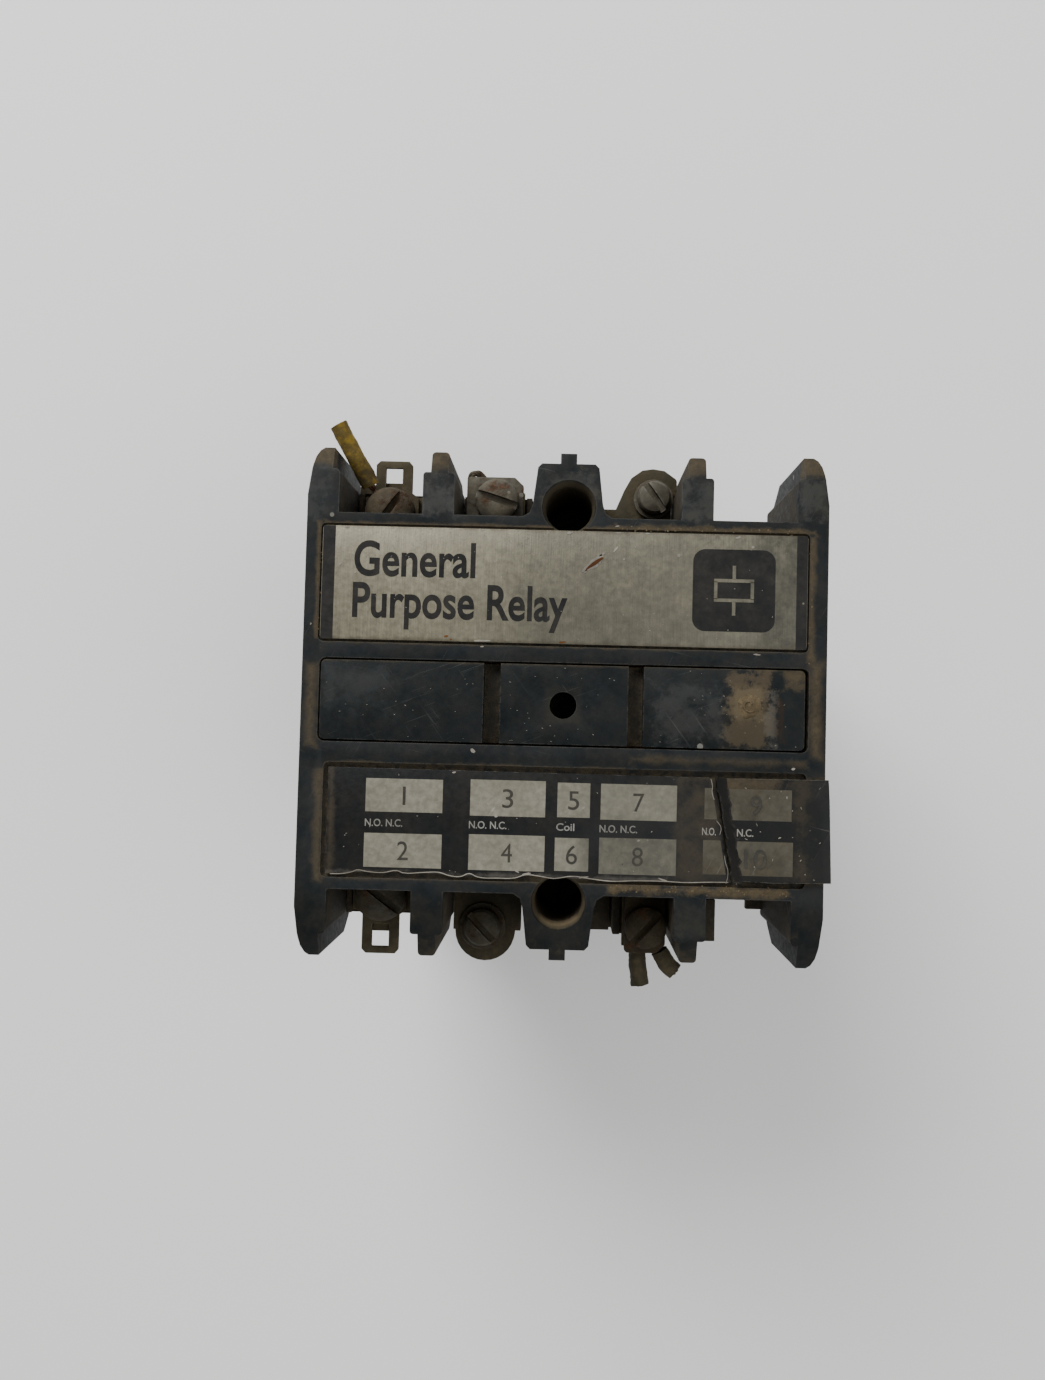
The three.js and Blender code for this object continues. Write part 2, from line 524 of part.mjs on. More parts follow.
BORES.forEach(([x, y], i) => {
  const spec = { r: 3.4, headZ: 55.3, headH: 2.8, dome: 0.8, shankR: 2, tipZ: 0.4, angle: 0.4 + i };
  piece(i === 0 ? "assembly_screw_top" : "assembly_screw_bottom", screw(x, y, spec), STEEL, 0.5, 0.8);
});

export default root;
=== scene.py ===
"""Looks of an industrial control relay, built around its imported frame.

The relay lies on its back: X runs across the poles, Y towards the odd-numbered terminals and Z
out of the mounting panel. Lengths in the classes are millimetres; meshes are metres.
"""

import logging
import math
import random
from dataclasses import dataclass, field
from enum import Enum
from typing import Callable, Iterable, Optional, Sequence, Union

import bmesh
import bpy
from mathutils import Matrix, Vector, noise


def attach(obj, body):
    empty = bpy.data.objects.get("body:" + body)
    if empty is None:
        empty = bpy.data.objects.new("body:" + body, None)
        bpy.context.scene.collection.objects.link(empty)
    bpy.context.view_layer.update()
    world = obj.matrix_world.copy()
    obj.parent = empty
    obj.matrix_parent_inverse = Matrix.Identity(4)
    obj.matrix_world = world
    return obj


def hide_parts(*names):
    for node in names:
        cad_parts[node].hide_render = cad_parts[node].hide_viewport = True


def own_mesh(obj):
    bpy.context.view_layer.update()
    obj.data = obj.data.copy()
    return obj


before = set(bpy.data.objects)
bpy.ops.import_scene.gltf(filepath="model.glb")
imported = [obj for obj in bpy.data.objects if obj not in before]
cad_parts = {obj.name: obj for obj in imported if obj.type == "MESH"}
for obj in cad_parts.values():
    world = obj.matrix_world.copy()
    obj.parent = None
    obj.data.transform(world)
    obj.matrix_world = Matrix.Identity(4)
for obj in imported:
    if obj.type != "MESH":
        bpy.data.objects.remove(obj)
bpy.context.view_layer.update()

log = logging.getLogger("relay")
MM = 0.001
FRONT = 76.0
Colour = tuple[float, float, float]
Socket = bpy.types.NodeSocket
Value = Union[float, Socket]


# ---------------------------------------------------------------- shader helpers
class Bench:
    """A node tree with short calls for adding and wiring nodes."""

    def __init__(self, tree: bpy.types.NodeTree) -> None:
        """Keeps the tree that the nodes go into."""
        self.tree = tree

    def add(self, kind: str, **settings: object) -> bpy.types.Node:
        """Adds a node.

        Args:
            kind: the node's type without its ShaderNode prefix.
            settings: properties set on the node.

        Returns:
            The node.
        """
        node = self.tree.nodes.new("ShaderNode" + kind)
        for key, value in settings.items():
            setattr(node, key, value)
        return node

    def feed(self, socket: Socket, value: Union[Value, Sequence[float]]) -> None:
        """Links a socket to an input, or sets the input's own value.

        Args:
            socket: the input socket to set.
            value: a socket to link from, or a plain value.
        """
        if isinstance(value, bpy.types.NodeSocket):
            self.tree.links.new(value, socket)
        else:
            socket.default_value = value

    def math(self, operation: str, a: Value, b: Value = 0.0, clamp: bool = False) -> Socket:
        """Adds a Math node and returns its value.

        Args:
            operation: the Math node's operation.
            a: the first input.
            b: the second input.
            clamp: whether the value is kept within 0 and 1.

        Returns:
            The value's socket.
        """
        node = self.add("Math", operation=operation, use_clamp=clamp)
        self.feed(node.inputs[0], a)
        self.feed(node.inputs[1], b)
        return node.outputs[0]

    def vector_math(self, operation: str, a: Value, b: Union[Value, Sequence[float]]) -> Socket:
        """Adds a Vector Math node and returns its vector, or its value for a dot product.

        Args:
            operation: the Vector Math node's operation.
            a: the first input.
            b: the second input.

        Returns:
            The socket of the vector, or of the value for a dot product.
        """
        node = self.add("VectorMath", operation=operation)
        self.feed(node.inputs[0], a)
        self.feed(node.inputs[1], b)
        return node.outputs["Value" if operation == "DOT_PRODUCT" else "Vector"]

    def spread(
        self, value: Value, low: Value, high: Value, to_low: float = 0.0, to_high: float = 1.0
    ) -> Socket:
        """Maps low..high onto to_low..to_high, clamped, and returns the value.

        Args:
            value: the value to map.
            low: the input that gives to_low.
            high: the input that gives to_high.
            to_low: the output at low.
            to_high: the output at high.

        Returns:
            The mapped value's socket.
        """
        node = self.add("MapRange", interpolation_type="SMOOTHSTEP")
        for index, item in enumerate((value, low, high, to_low, to_high)):
            self.feed(node.inputs[index], item)
        return node.outputs[0]

    def mix(
        self, share: Value, a: Union[Socket, Colour], b: Union[Socket, Colour], blend: str = "MIX"
    ) -> Socket:
        """Mixes two colours and returns the colour.

        Args:
            share: how much of the second colour.
            a: the first colour.
            b: the second colour.
            blend: the Mix node's blend type.

        Returns:
            The colour's socket.
        """
        node = self.add("Mix", data_type="RGBA", blend_type=blend)
        self.feed(node.inputs["Factor"], share)
        for socket, value in ((node.inputs[6], a), (node.inputs[7], b)):
            self.feed(socket, value if isinstance(value, bpy.types.NodeSocket) else (*value, 1.0))
        return node.outputs[2]

    def place(self) -> Socket:
        """Returns the object coordinates."""
        return self.add("TexCoord").outputs["Object"]

    def stretch(self, vector: Socket, scale: Sequence[float], turn: float = 0.0) -> Socket:
        """Scales, and turns about Z, a coordinate.

        Args:
            vector: the coordinate.
            scale: the scale along each axis.
            turn: the turn about Z in radians.

        Returns:
            The changed coordinate's socket.
        """
        node = self.add("Mapping")
        self.feed(node.inputs["Vector"], vector)
        node.inputs["Scale"].default_value = scale
        node.inputs["Rotation"].default_value = (0.0, 0.0, turn)
        return node.outputs[0]

    def cloud(self, vector: Socket, scale: Value, detail: float = 4.0, rough: float = 0.6) -> Socket:
        """Returns a fractal noise value.

        Args:
            vector: the coordinate.
            scale: the noise's scale.
            detail: how many octaves it has.
            rough: how strong the finer octaves are.

        Returns:
            The noise value's socket.
        """
        node = self.add("TexNoise")
        self.feed(node.inputs["Vector"], vector)
        self.feed(node.inputs["Scale"], scale)
        node.inputs["Detail"].default_value = detail
        node.inputs["Roughness"].default_value = rough
        return node.outputs["Fac"]


def make_group(
    name: str, inputs: dict[str, Union[float, Sequence[float]]], output: str,
    build: Callable[[Bench, dict], Socket]
) -> bpy.types.NodeTree:
    """Builds a node group with one output.

    Args:
        name: the group's name.
        inputs: each input's name and default; three numbers make a vector.
        output: the output's name.
        build: takes the bench and the input sockets, and returns the output's socket.

    Returns:
        The group.
    """
    group = bpy.data.node_groups.new(name, "ShaderNodeTree")
    for label, default in inputs.items():
        kind = "NodeSocketFloat" if isinstance(default, (int, float)) else "NodeSocketVector"
        socket = group.interface.new_socket(name=label, in_out="INPUT", socket_type=kind)
        socket.default_value = default
    group.interface.new_socket(name=output, in_out="OUTPUT", socket_type="NodeSocketFloat")
    bench = Bench(group)
    entry = group.nodes.new("NodeGroupInput")
    leave = group.nodes.new("NodeGroupOutput")
    result = build(bench, {label: entry.outputs[label] for label in inputs})
    group.links.new(result, leave.inputs[output])
    return group


class Effects:
    """The effects that the materials share, each built once as a node group."""

    def __init__(self) -> None:
        """Builds the groups."""
        self.dust = make_group("dust_in_recesses", {"Reach": 0.002, "Grain": 900.0}, "Mask", self._dust)
        self.wear = make_group(
            "worn_edges", {"Radius": 0.0004, "Grain": 700.0, "Share": 0.5}, "Mask", self._wear
        )
        self.specks = make_group("specks", {"Scale": 500.0, "Share": 0.1, "Size": 0.25}, "Mask", self._specks)
        self.scratches = make_group(
            "scratches", {"Scale": 60.0, "Turn": 0.0, "Share": 0.3}, "Mask", self._scratches
        )
        self.patch = make_group(
            "patch",
            {"Centre": (0, 0, 0), "Half": (1, 1, 1), "Soft": 0.001, "Ragged": 0.001, "Grain": 400.0},
            "Mask",
            self._patch,
        )

    @staticmethod
    def _dust(bench: Bench, given: dict[str, Socket]) -> Socket:
        """Dust that settles where surfaces meet, broken up by noise.

        Args:
            bench: the tree to build in.
            given: the group's inputs, by name.

        Returns:
            The socket of the mask, 0 to 1.
        """
        shade = bench.add("AmbientOcclusion", samples=8, only_local=False)
        bench.feed(shade.inputs["Distance"], given["Reach"])
        hollow = bench.spread(shade.outputs["AO"], 0.97, 0.45)
        grain = bench.cloud(bench.place(), given["Grain"], 5.0, 0.7)
        return bench.math("MULTIPLY", hollow, bench.spread(grain, 0.3, 0.62), clamp=True)

    @staticmethod
    def _wear(bench: Bench, given: dict[str, Socket]) -> Socket:
        """Edges rubbed bare or whitened, found where a rounded normal leaves the true one.

        Args:
            bench: the tree to build in.
            given: the group's inputs, by name.

        Returns:
            The socket of the mask, 0 to 1.
        """
        soft = bench.add("Bevel", samples=4)
        bench.feed(soft.inputs["Radius"], given["Radius"])
        true = bench.add("NewGeometry").outputs["Normal"]
        bend = bench.math("SUBTRACT", 1.0, bench.vector_math("DOT_PRODUCT", soft.outputs[0], true))
        edge = bench.spread(bend, 0.015, 0.14)
        grain = bench.cloud(bench.place(), given["Grain"], 4.0, 0.65)
        limit = bench.math("SUBTRACT", 0.85, bench.math("MULTIPLY", given["Share"], 0.6))
        return bench.math("MULTIPLY", edge, bench.spread(grain, bench.math("SUBTRACT", limit, 0.12), limit))

    @staticmethod
    def _specks(bench: Bench, given: dict[str, Socket]) -> Socket:
        """Small separate flecks.

        Args:
            bench: the tree to build in.
            given: the group's inputs, by name.

        Returns:
            The socket of the mask, 0 to 1.
        """
        cells = bench.add("TexVoronoi", feature="F1")
        bench.feed(cells.inputs["Vector"], bench.place())
        bench.feed(cells.inputs["Scale"], given["Scale"])
        part = bench.add("SeparateColor")
        bench.feed(part.inputs[0], cells.outputs["Color"])
        chosen = bench.math("LESS_THAN", part.outputs[0], given["Share"])
        size = bench.math("MULTIPLY", given["Size"], part.outputs[1])
        near = bench.math("LESS_THAN", cells.outputs["Distance"], size)
        return bench.math("MULTIPLY", chosen, near)

    @staticmethod
    def _scratches(bench: Bench, given: dict[str, Socket]) -> Socket:
        """Fine lines, all one way, that fade in and out.

        Args:
            bench: the tree to build in.
            given: the group's inputs, by name.

        Returns:
            The socket of the mask, 0 to 1.
        """
        spin = bench.add("VectorRotate", rotation_type="Z_AXIS")
        bench.feed(spin.inputs["Vector"], bench.place())
        bench.feed(spin.inputs["Angle"], given["Turn"])
        long = bench.stretch(spin.outputs[0], (40.0, 1.0, 1.0))
        lines = bench.cloud(long, given["Scale"], 3.0, 0.8)
        limit = bench.math("SUBTRACT", 0.78, bench.math("MULTIPLY", given["Share"], 0.3))
        patchy = bench.spread(bench.cloud(bench.place(), 90.0, 2.0), 0.42, 0.62)
        return bench.math("MULTIPLY", bench.spread(lines, limit, bench.math("ADD", limit, 0.05)), patchy)

    @staticmethod
    def _patch(bench: Bench, given: dict[str, Socket]) -> Socket:
        """A box of space whose border is soft and ragged.

        Args:
            bench: the tree to build in.
            given: the group's inputs, by name.

        Returns:
            The socket of the mask, 1 inside the box and 0 outside it.
        """
        place = bench.place()
        grain = bench.math("SUBTRACT", bench.cloud(place, given["Grain"], 5.0, 0.7), 0.5)
        off = bench.vector_math("ABSOLUTE", bench.vector_math("SUBTRACT", place, given["Centre"]), (0, 0, 0))
        over = bench.add("SeparateXYZ")
        bench.feed(over.inputs[0], bench.vector_math("SUBTRACT", off, given["Half"]))
        widest = bench.math(
            "MAXIMUM", over.outputs[0], bench.math("MAXIMUM", over.outputs[1], over.outputs[2])
        )
        torn = bench.math(
            "ADD", widest, bench.math("MULTIPLY", grain, bench.math("MULTIPLY", given["Ragged"], 4.0))
        )
        share = bench.math("DIVIDE", torn, given["Soft"])
        return bench.spread(share, 1.0, -1.0)


EFFECTS = Effects()


@dataclass(frozen=True)
class Patch:
    """A place, in millimetres, where dirt lies, or where light or shade is painted on."""

    centre: tuple[float, float, float]
    half: tuple[float, float, float]
    strength: float = 1.0
    soft: float = 0.6
    ragged: float = 0.5
    colour: Optional[Colour] = None


@dataclass(frozen=True)
class Finish:
    """What a surface is made of and how it has aged; some finishes also carry painted light or shade."""

    name: str
    base: Colour
    tone: Colour
    roughness: float = 0.7
    metallic: float = 0.0
    coat: float = 0.0
    gloss: float = 0.16
    tone_scale: float = 120.0
    dust: Colour = (0.062, 0.048, 0.028)
    dust_amount: float = 0.6
    film: float = 0.0
    reach: float = 2.0
    patches: tuple[Patch, ...] = ()
    wear: Optional[Colour] = None
    wear_share: float = 0.4
    wear_radius: float = 0.35
    speck: Optional[Colour] = None
    speck_share: float = 0.04
    scratch: Optional[Colour] = None
    scratch_share: float = 0.3
    scratch_turn: float = 0.5
    rust: Optional[tuple[Colour, Colour]] = None
    rust_share: float = 0.4
    grain_scale: float = 2500.0
    grain: float = 0.25
    brushed: bool = False
    laminated: bool = False

    def _group(self, bench: Bench, group: bpy.types.NodeTree, **values: object) -> Socket:
        """Places one of the shared effects with its own values and returns its mask.

        Args:
            bench: the material's tree.
            group: the effect's node group.
            values: the group's inputs, by name.

        Returns:
            The mask's socket.
        """
        node = bench.add("Group", node_tree=group)
        for label, value in values.items():
            node.inputs[label].default_value = value
        return node.outputs["Mask"]

    def material(self) -> bpy.types.Material:
        """Builds the material, or returns the one already built.

        Returns:
            The material.
        """
        if self.name in bpy.data.materials:
            return bpy.data.materials[self.name]
        material = bpy.data.materials.new(self.name)
        material.use_nodes = True
        tree = material.node_tree
        tree.nodes.clear()
        bench = Bench(tree)
        place = bench.place()
        shader = bench.add("BsdfPrincipled")
        out = bench.add("OutputMaterial")
        tree.links.new(shader.outputs[0], out.inputs[0])

        tone = bench.spread(bench.cloud(place, self.tone_scale, 6.0, 0.65), 0.38, 0.62)
        colour = bench.mix(tone, self.base, self.tone)
        fine = bench.cloud(place, self.grain_scale * 0.4, 3.0, 0.6)
        shade = bench.spread(fine, 0.3, 0.7, 0.86, 1.14)
        grey = bench.add("CombineColor")
        for socket in grey.inputs[:3]:
            bench.feed(socket, shade)
        colour = bench.mix(1.0, colour, grey.outputs[0], "MULTIPLY")
        rough: Value = bench.spread(fine, 0.3, 0.7, self.roughness - 0.08, min(1.0, self.roughness + 0.08))
        metal: Value = self.metallic
        height: Socket = bench.math("MULTIPLY", bench.cloud(place, self.grain_scale, 2.0, 0.5), self.grain)

        if self.brushed:
            lines = bench.cloud(bench.stretch(place, (9.0, 0.25, 1.0)), 600.0, 4.0, 0.75)
            colour = bench.mix(
                bench.spread(lines, 0.35, 0.65, 0.0, 0.35), colour, tuple(0.45 * c for c in self.base)
            )
            height = bench.math("ADD", height, bench.math("MULTIPLY", lines, 0.5))
        if self.laminated:
            part = bench.add("SeparateXYZ")
            bench.feed(part.inputs[0], place)
            sheet = bench.math("FRACT", bench.math("MULTIPLY", part.outputs[1], 1600.0))
            seam = bench.spread(bench.math("ABSOLUTE", bench.math("SUBTRACT", sheet, 0.5)), 0.38, 0.47)
            colour = bench.mix(bench.math("MULTIPLY", seam, 0.7), colour, (0.01, 0.008, 0.006))
            height = bench.math("SUBTRACT", height, seam)
        if self.scratch:
            mask = self._group(bench, EFFECTS.scratches, Share=self.scratch_share, Turn=self.scratch_turn)
            other = self._group(
                bench, EFFECTS.scratches, Share=self.scratch_share, Turn=self.scratch_turn + 1.3
            )
            mask = bench.math("MULTIPLY", bench.math("MAXIMUM", mask, other), 0.55)
            colour = bench.mix(mask, colour, self.scratch)
            height = bench.math("SUBTRACT", height, bench.math("MULTIPLY", mask, 0.3))
        if self.wear:
            mask = self._group(bench, EFFECTS.wear, Radius=self.wear_radius * MM, Share=self.wear_share)
            mask = bench.math("MULTIPLY", mask, 0.8)
            colour = bench.mix(mask, colour, self.wear)
        if self.rust:
            light, dark = self.rust
            where = bench.cloud(place, 260.0, 6.0, 0.7)
            limit = 0.72 - 0.44 * self.rust_share
            mask = bench.spread(where, limit - 0.05, limit + 0.06)
            crust = bench.mix(bench.spread(bench.cloud(place, 1500.0, 4.0), 0.4, 0.6), light, dark)
            colour = bench.mix(mask, colour, crust)
            rough = bench.math("MAXIMUM", rough, bench.math("MULTIPLY", mask, 0.9))
            metal = bench.math("MULTIPLY", bench.math("SUBTRACT", 1.0, mask), metal)
            height = bench.math("ADD", height, bench.math("MULTIPLY", mask, 0.8))
        if self.speck:
            mask = self._group(bench, EFFECTS.specks, Share=self.speck_share)
            colour = bench.mix(mask, colour, self.speck)

        dirt: Value = bench.math(
            "MULTIPLY", self._group(bench, EFFECTS.dust, Reach=self.reach * MM), self.dust_amount
        )
        if self.film:
            veil = bench.spread(bench.cloud(place, 210.0, 6.0, 0.7), 0.32, 0.7, 0.0, self.film * 1.6)
            dirt = bench.math("MAXIMUM", dirt, veil)
        for patch in self.patches:
            mask = self._group(
                bench,
                EFFECTS.patch,
                Centre=tuple(MM * c for c in patch.centre),
                Half=tuple(MM * h for h in patch.half),
                Soft=patch.soft * MM,
                Ragged=patch.ragged * MM,
            )
            mask = bench.math("MULTIPLY", mask, patch.strength)
            # A coloured patch paints a stain, or on some finishes painted light or shade; a plain one adds
            # dust.
            if patch.colour:
                colour = bench.mix(mask, colour, patch.colour)
            else:
                dirt = bench.math("MAXIMUM", dirt, mask)
        dirt = bench.math(
            "MULTIPLY", dirt, bench.spread(bench.cloud(place, 1400.0, 5.0, 0.75), 0.25, 0.6, 0.55, 1.0)
        )
        pale = tuple(min(1.0, 1.5 * c) for c in self.dust)
        soil = bench.mix(bench.spread(bench.cloud(place, 800.0, 5.0, 0.7), 0.35, 0.7), self.dust, pale)
        colour = bench.mix(dirt, colour, soil)
        rough = bench.math("ADD", bench.math("MULTIPLY", bench.math("SUBTRACT", 1.0, dirt), rough),
                           bench.math("MULTIPLY", dirt, 0.95))
        metal = bench.math("MULTIPLY", bench.math("SUBTRACT", 1.0, dirt), metal)
        crumbs = bench.math("MULTIPLY", bench.cloud(place, 2600.0, 3.0, 0.7), 1.6)
        height = bench.math("ADD", height, bench.math("MULTIPLY", dirt, crumbs))

        bump = bench.add("Bump")
        bump.inputs["Strength"].default_value = 0.6
        bump.inputs["Distance"].default_value = 0.00012
        bench.feed(bump.inputs["Height"], height)
        bench.feed(shader.inputs["Base Color"], colour)
        bench.feed(shader.inputs["Roughness"], rough)
        if self.metallic:
            bench.feed(shader.inputs["Metallic"], metal)
        bench.feed(shader.inputs["Normal"], bump.outputs[0])
        shader.inputs["Specular IOR Level"].default_value = self.gloss
        if self.coat:
            shader.inputs["Coat Weight"].default_value = self.coat
            shader.inputs["Coat Roughness"].default_value = 0.3
        return material


# ---------------------------------------------------------------- finishes
TAN = (0.062, 0.048, 0.028)
GREY_FILM = (0.068, 0.069, 0.062)
DEEP_SLATE = (0.0028, 0.0052, 0.0062)
RUST = ((0.05, 0.023, 0.009), (0.022, 0.011, 0.006))
BAY_DUST = tuple(Patch((0.0, side * 37.6, 62.0), (37.2, 6.6, 13.2), 0.5, 0.9, 1.2) for side in (-1, 1))
TIP_DUST = tuple(
    Patch((x, y, 75.5), (half, 1.8, 3.0), 0.75, 1.2, 1.0)
    for x, y, half in ((-39.5, 39.6, 2.8), (39.5, 39.4, 2.8), (-20.9, 39.2, 2.2), (20.9, 39.2, 2.2))
) + tuple(
    Patch((x, -39.6, 75.5), (half, 1.6, 3.0), 0.35, 1.2, 1.0, GREY_FILM)
    for x, half in ((-39.5, 2.8), (39.5, 2.8), (-20.9, 2.2), (20.9, 2.2), (0.0, 1.5))
)
FACE_DIRT_AND_SHADE = (
    # The first patch is painted shade: a near-black band that darkens the lower ends of the walls, barriers
    # and boss. The rest are dust, grey film and a dark line along the slot.
    Patch((0.0, -36.5, 76.0), (44.0, 5.0, 4.0), 0.9, 2.0, 0.8, (0.0012, 0.003, 0.0038)),
    Patch((0.0, -8.9, 76.0), (38.0, 0.7, 0.8), 0.5, 0.6, 0.8, DEEP_SLATE),
    Patch((24.0, 28.6, 76.0), (16.0, 0.5, 0.8), 0.95, 0.5, 0.7),
    Patch((-12.0, 28.4, 76.0), (27.0, 0.3, 0.8), 0.85, 0.4, 0.5),
    Patch((22.5, -28.9, 76.0), (14.5, 0.6, 1.5), 1.0, 0.8, 1.3),
    Patch((-8.0, -28.3, 76.0), (28.0, 0.2, 1.5), 0.5, 0.5, 0.5),
    Patch((-40.4, -1.0, 76.0), (0.9, 6.5, 1.5), 0.7, 1.0, 0.8),
    Patch((40.4, 0.0, 76.0), (0.9, 7.5, 1.5), 0.75, 1.0, 0.8),
    Patch((-39.9, 19.0, 76.0), (0.3, 9.5, 1.0), 0.9, 0.4, 0.4),
    Patch((39.4, 18.0, 76.0), (0.5, 10.0, 1.0), 0.85, 0.6, 0.6),
    Patch((-38.6, -20.0, 76.0), (0.7, 9.0, 1.0), 0.65, 0.8, 0.8),
    Patch((-14.0, -10.2, 76.0), (24.0, 0.25, 0.8), 0.7, 0.4, 0.5),
    Patch((25.0, -8.4, 76.0), (14.0, 0.5, 0.8), 0.55, 0.8, 0.9),
    Patch((0.0, 9.2, 76.0), (39.0, 0.15, 0.8), 0.5, 0.3, 0.4),
    Patch((0.1, 34.6, 76.0), (3.6, 2.2, 0.8), 0.35, 1.4, 2.2, GREY_FILM),
    Patch((-20.9, 33.4, 76.0), (2.6, 2.6, 0.8), 0.4, 1.6, 3.4, GREY_FILM),
    Patch((20.9, 33.8, 76.0), (2.6, 2.8, 0.8), 0.35, 1.6, 3.4, GREY_FILM),
    Patch((39.6, 34.2, 76.0), (2.4, 3.0, 0.8), 0.35, 1.6, 3.4, GREY_FILM),
    Patch((-40.2, 33.0, 76.0), (2.0, 3.0, 0.8), 0.3, 1.6, 2.6, GREY_FILM),
    Patch((20.9, -34.0, 76.0), (2.6, 2.8, 0.8), 0.18, 1.6, 2.6, GREY_FILM),
)
# The bores: tan rims that are partly dust and partly painted light, a bright tan crescent of painted light on
# the lower bore's inner wall, and near-black painted shade deep inside both bores.
BORE_DUST_LIGHT_AND_SHADE = (
    Patch((0.2, 31.9, 74.6), (4.6, 4.6, 0.95), 0.8, 0.35, 0.25, (0.046, 0.041, 0.026)),
    Patch((0.05, -31.4, 74.6), (4.6, 4.6, 0.95), 0.85, 0.35, 0.25, (0.058, 0.049, 0.03)),
    Patch((0.05, -35.3, 73.0), (4.4, 1.5, 1.7), 1.0, 0.4, 0.5, (0.115, 0.088, 0.052)),
    Patch((0.2, 31.9, 63.0), (4.3, 4.3, 9.6), 1.0, 0.6, 0.0, (0.0016, 0.0016, 0.0016)),
    Patch((0.05, -31.4, 62.0), (4.3, 4.3, 8.6), 1.0, 0.6, 0.0, (0.0016, 0.0016, 0.0016)),
)


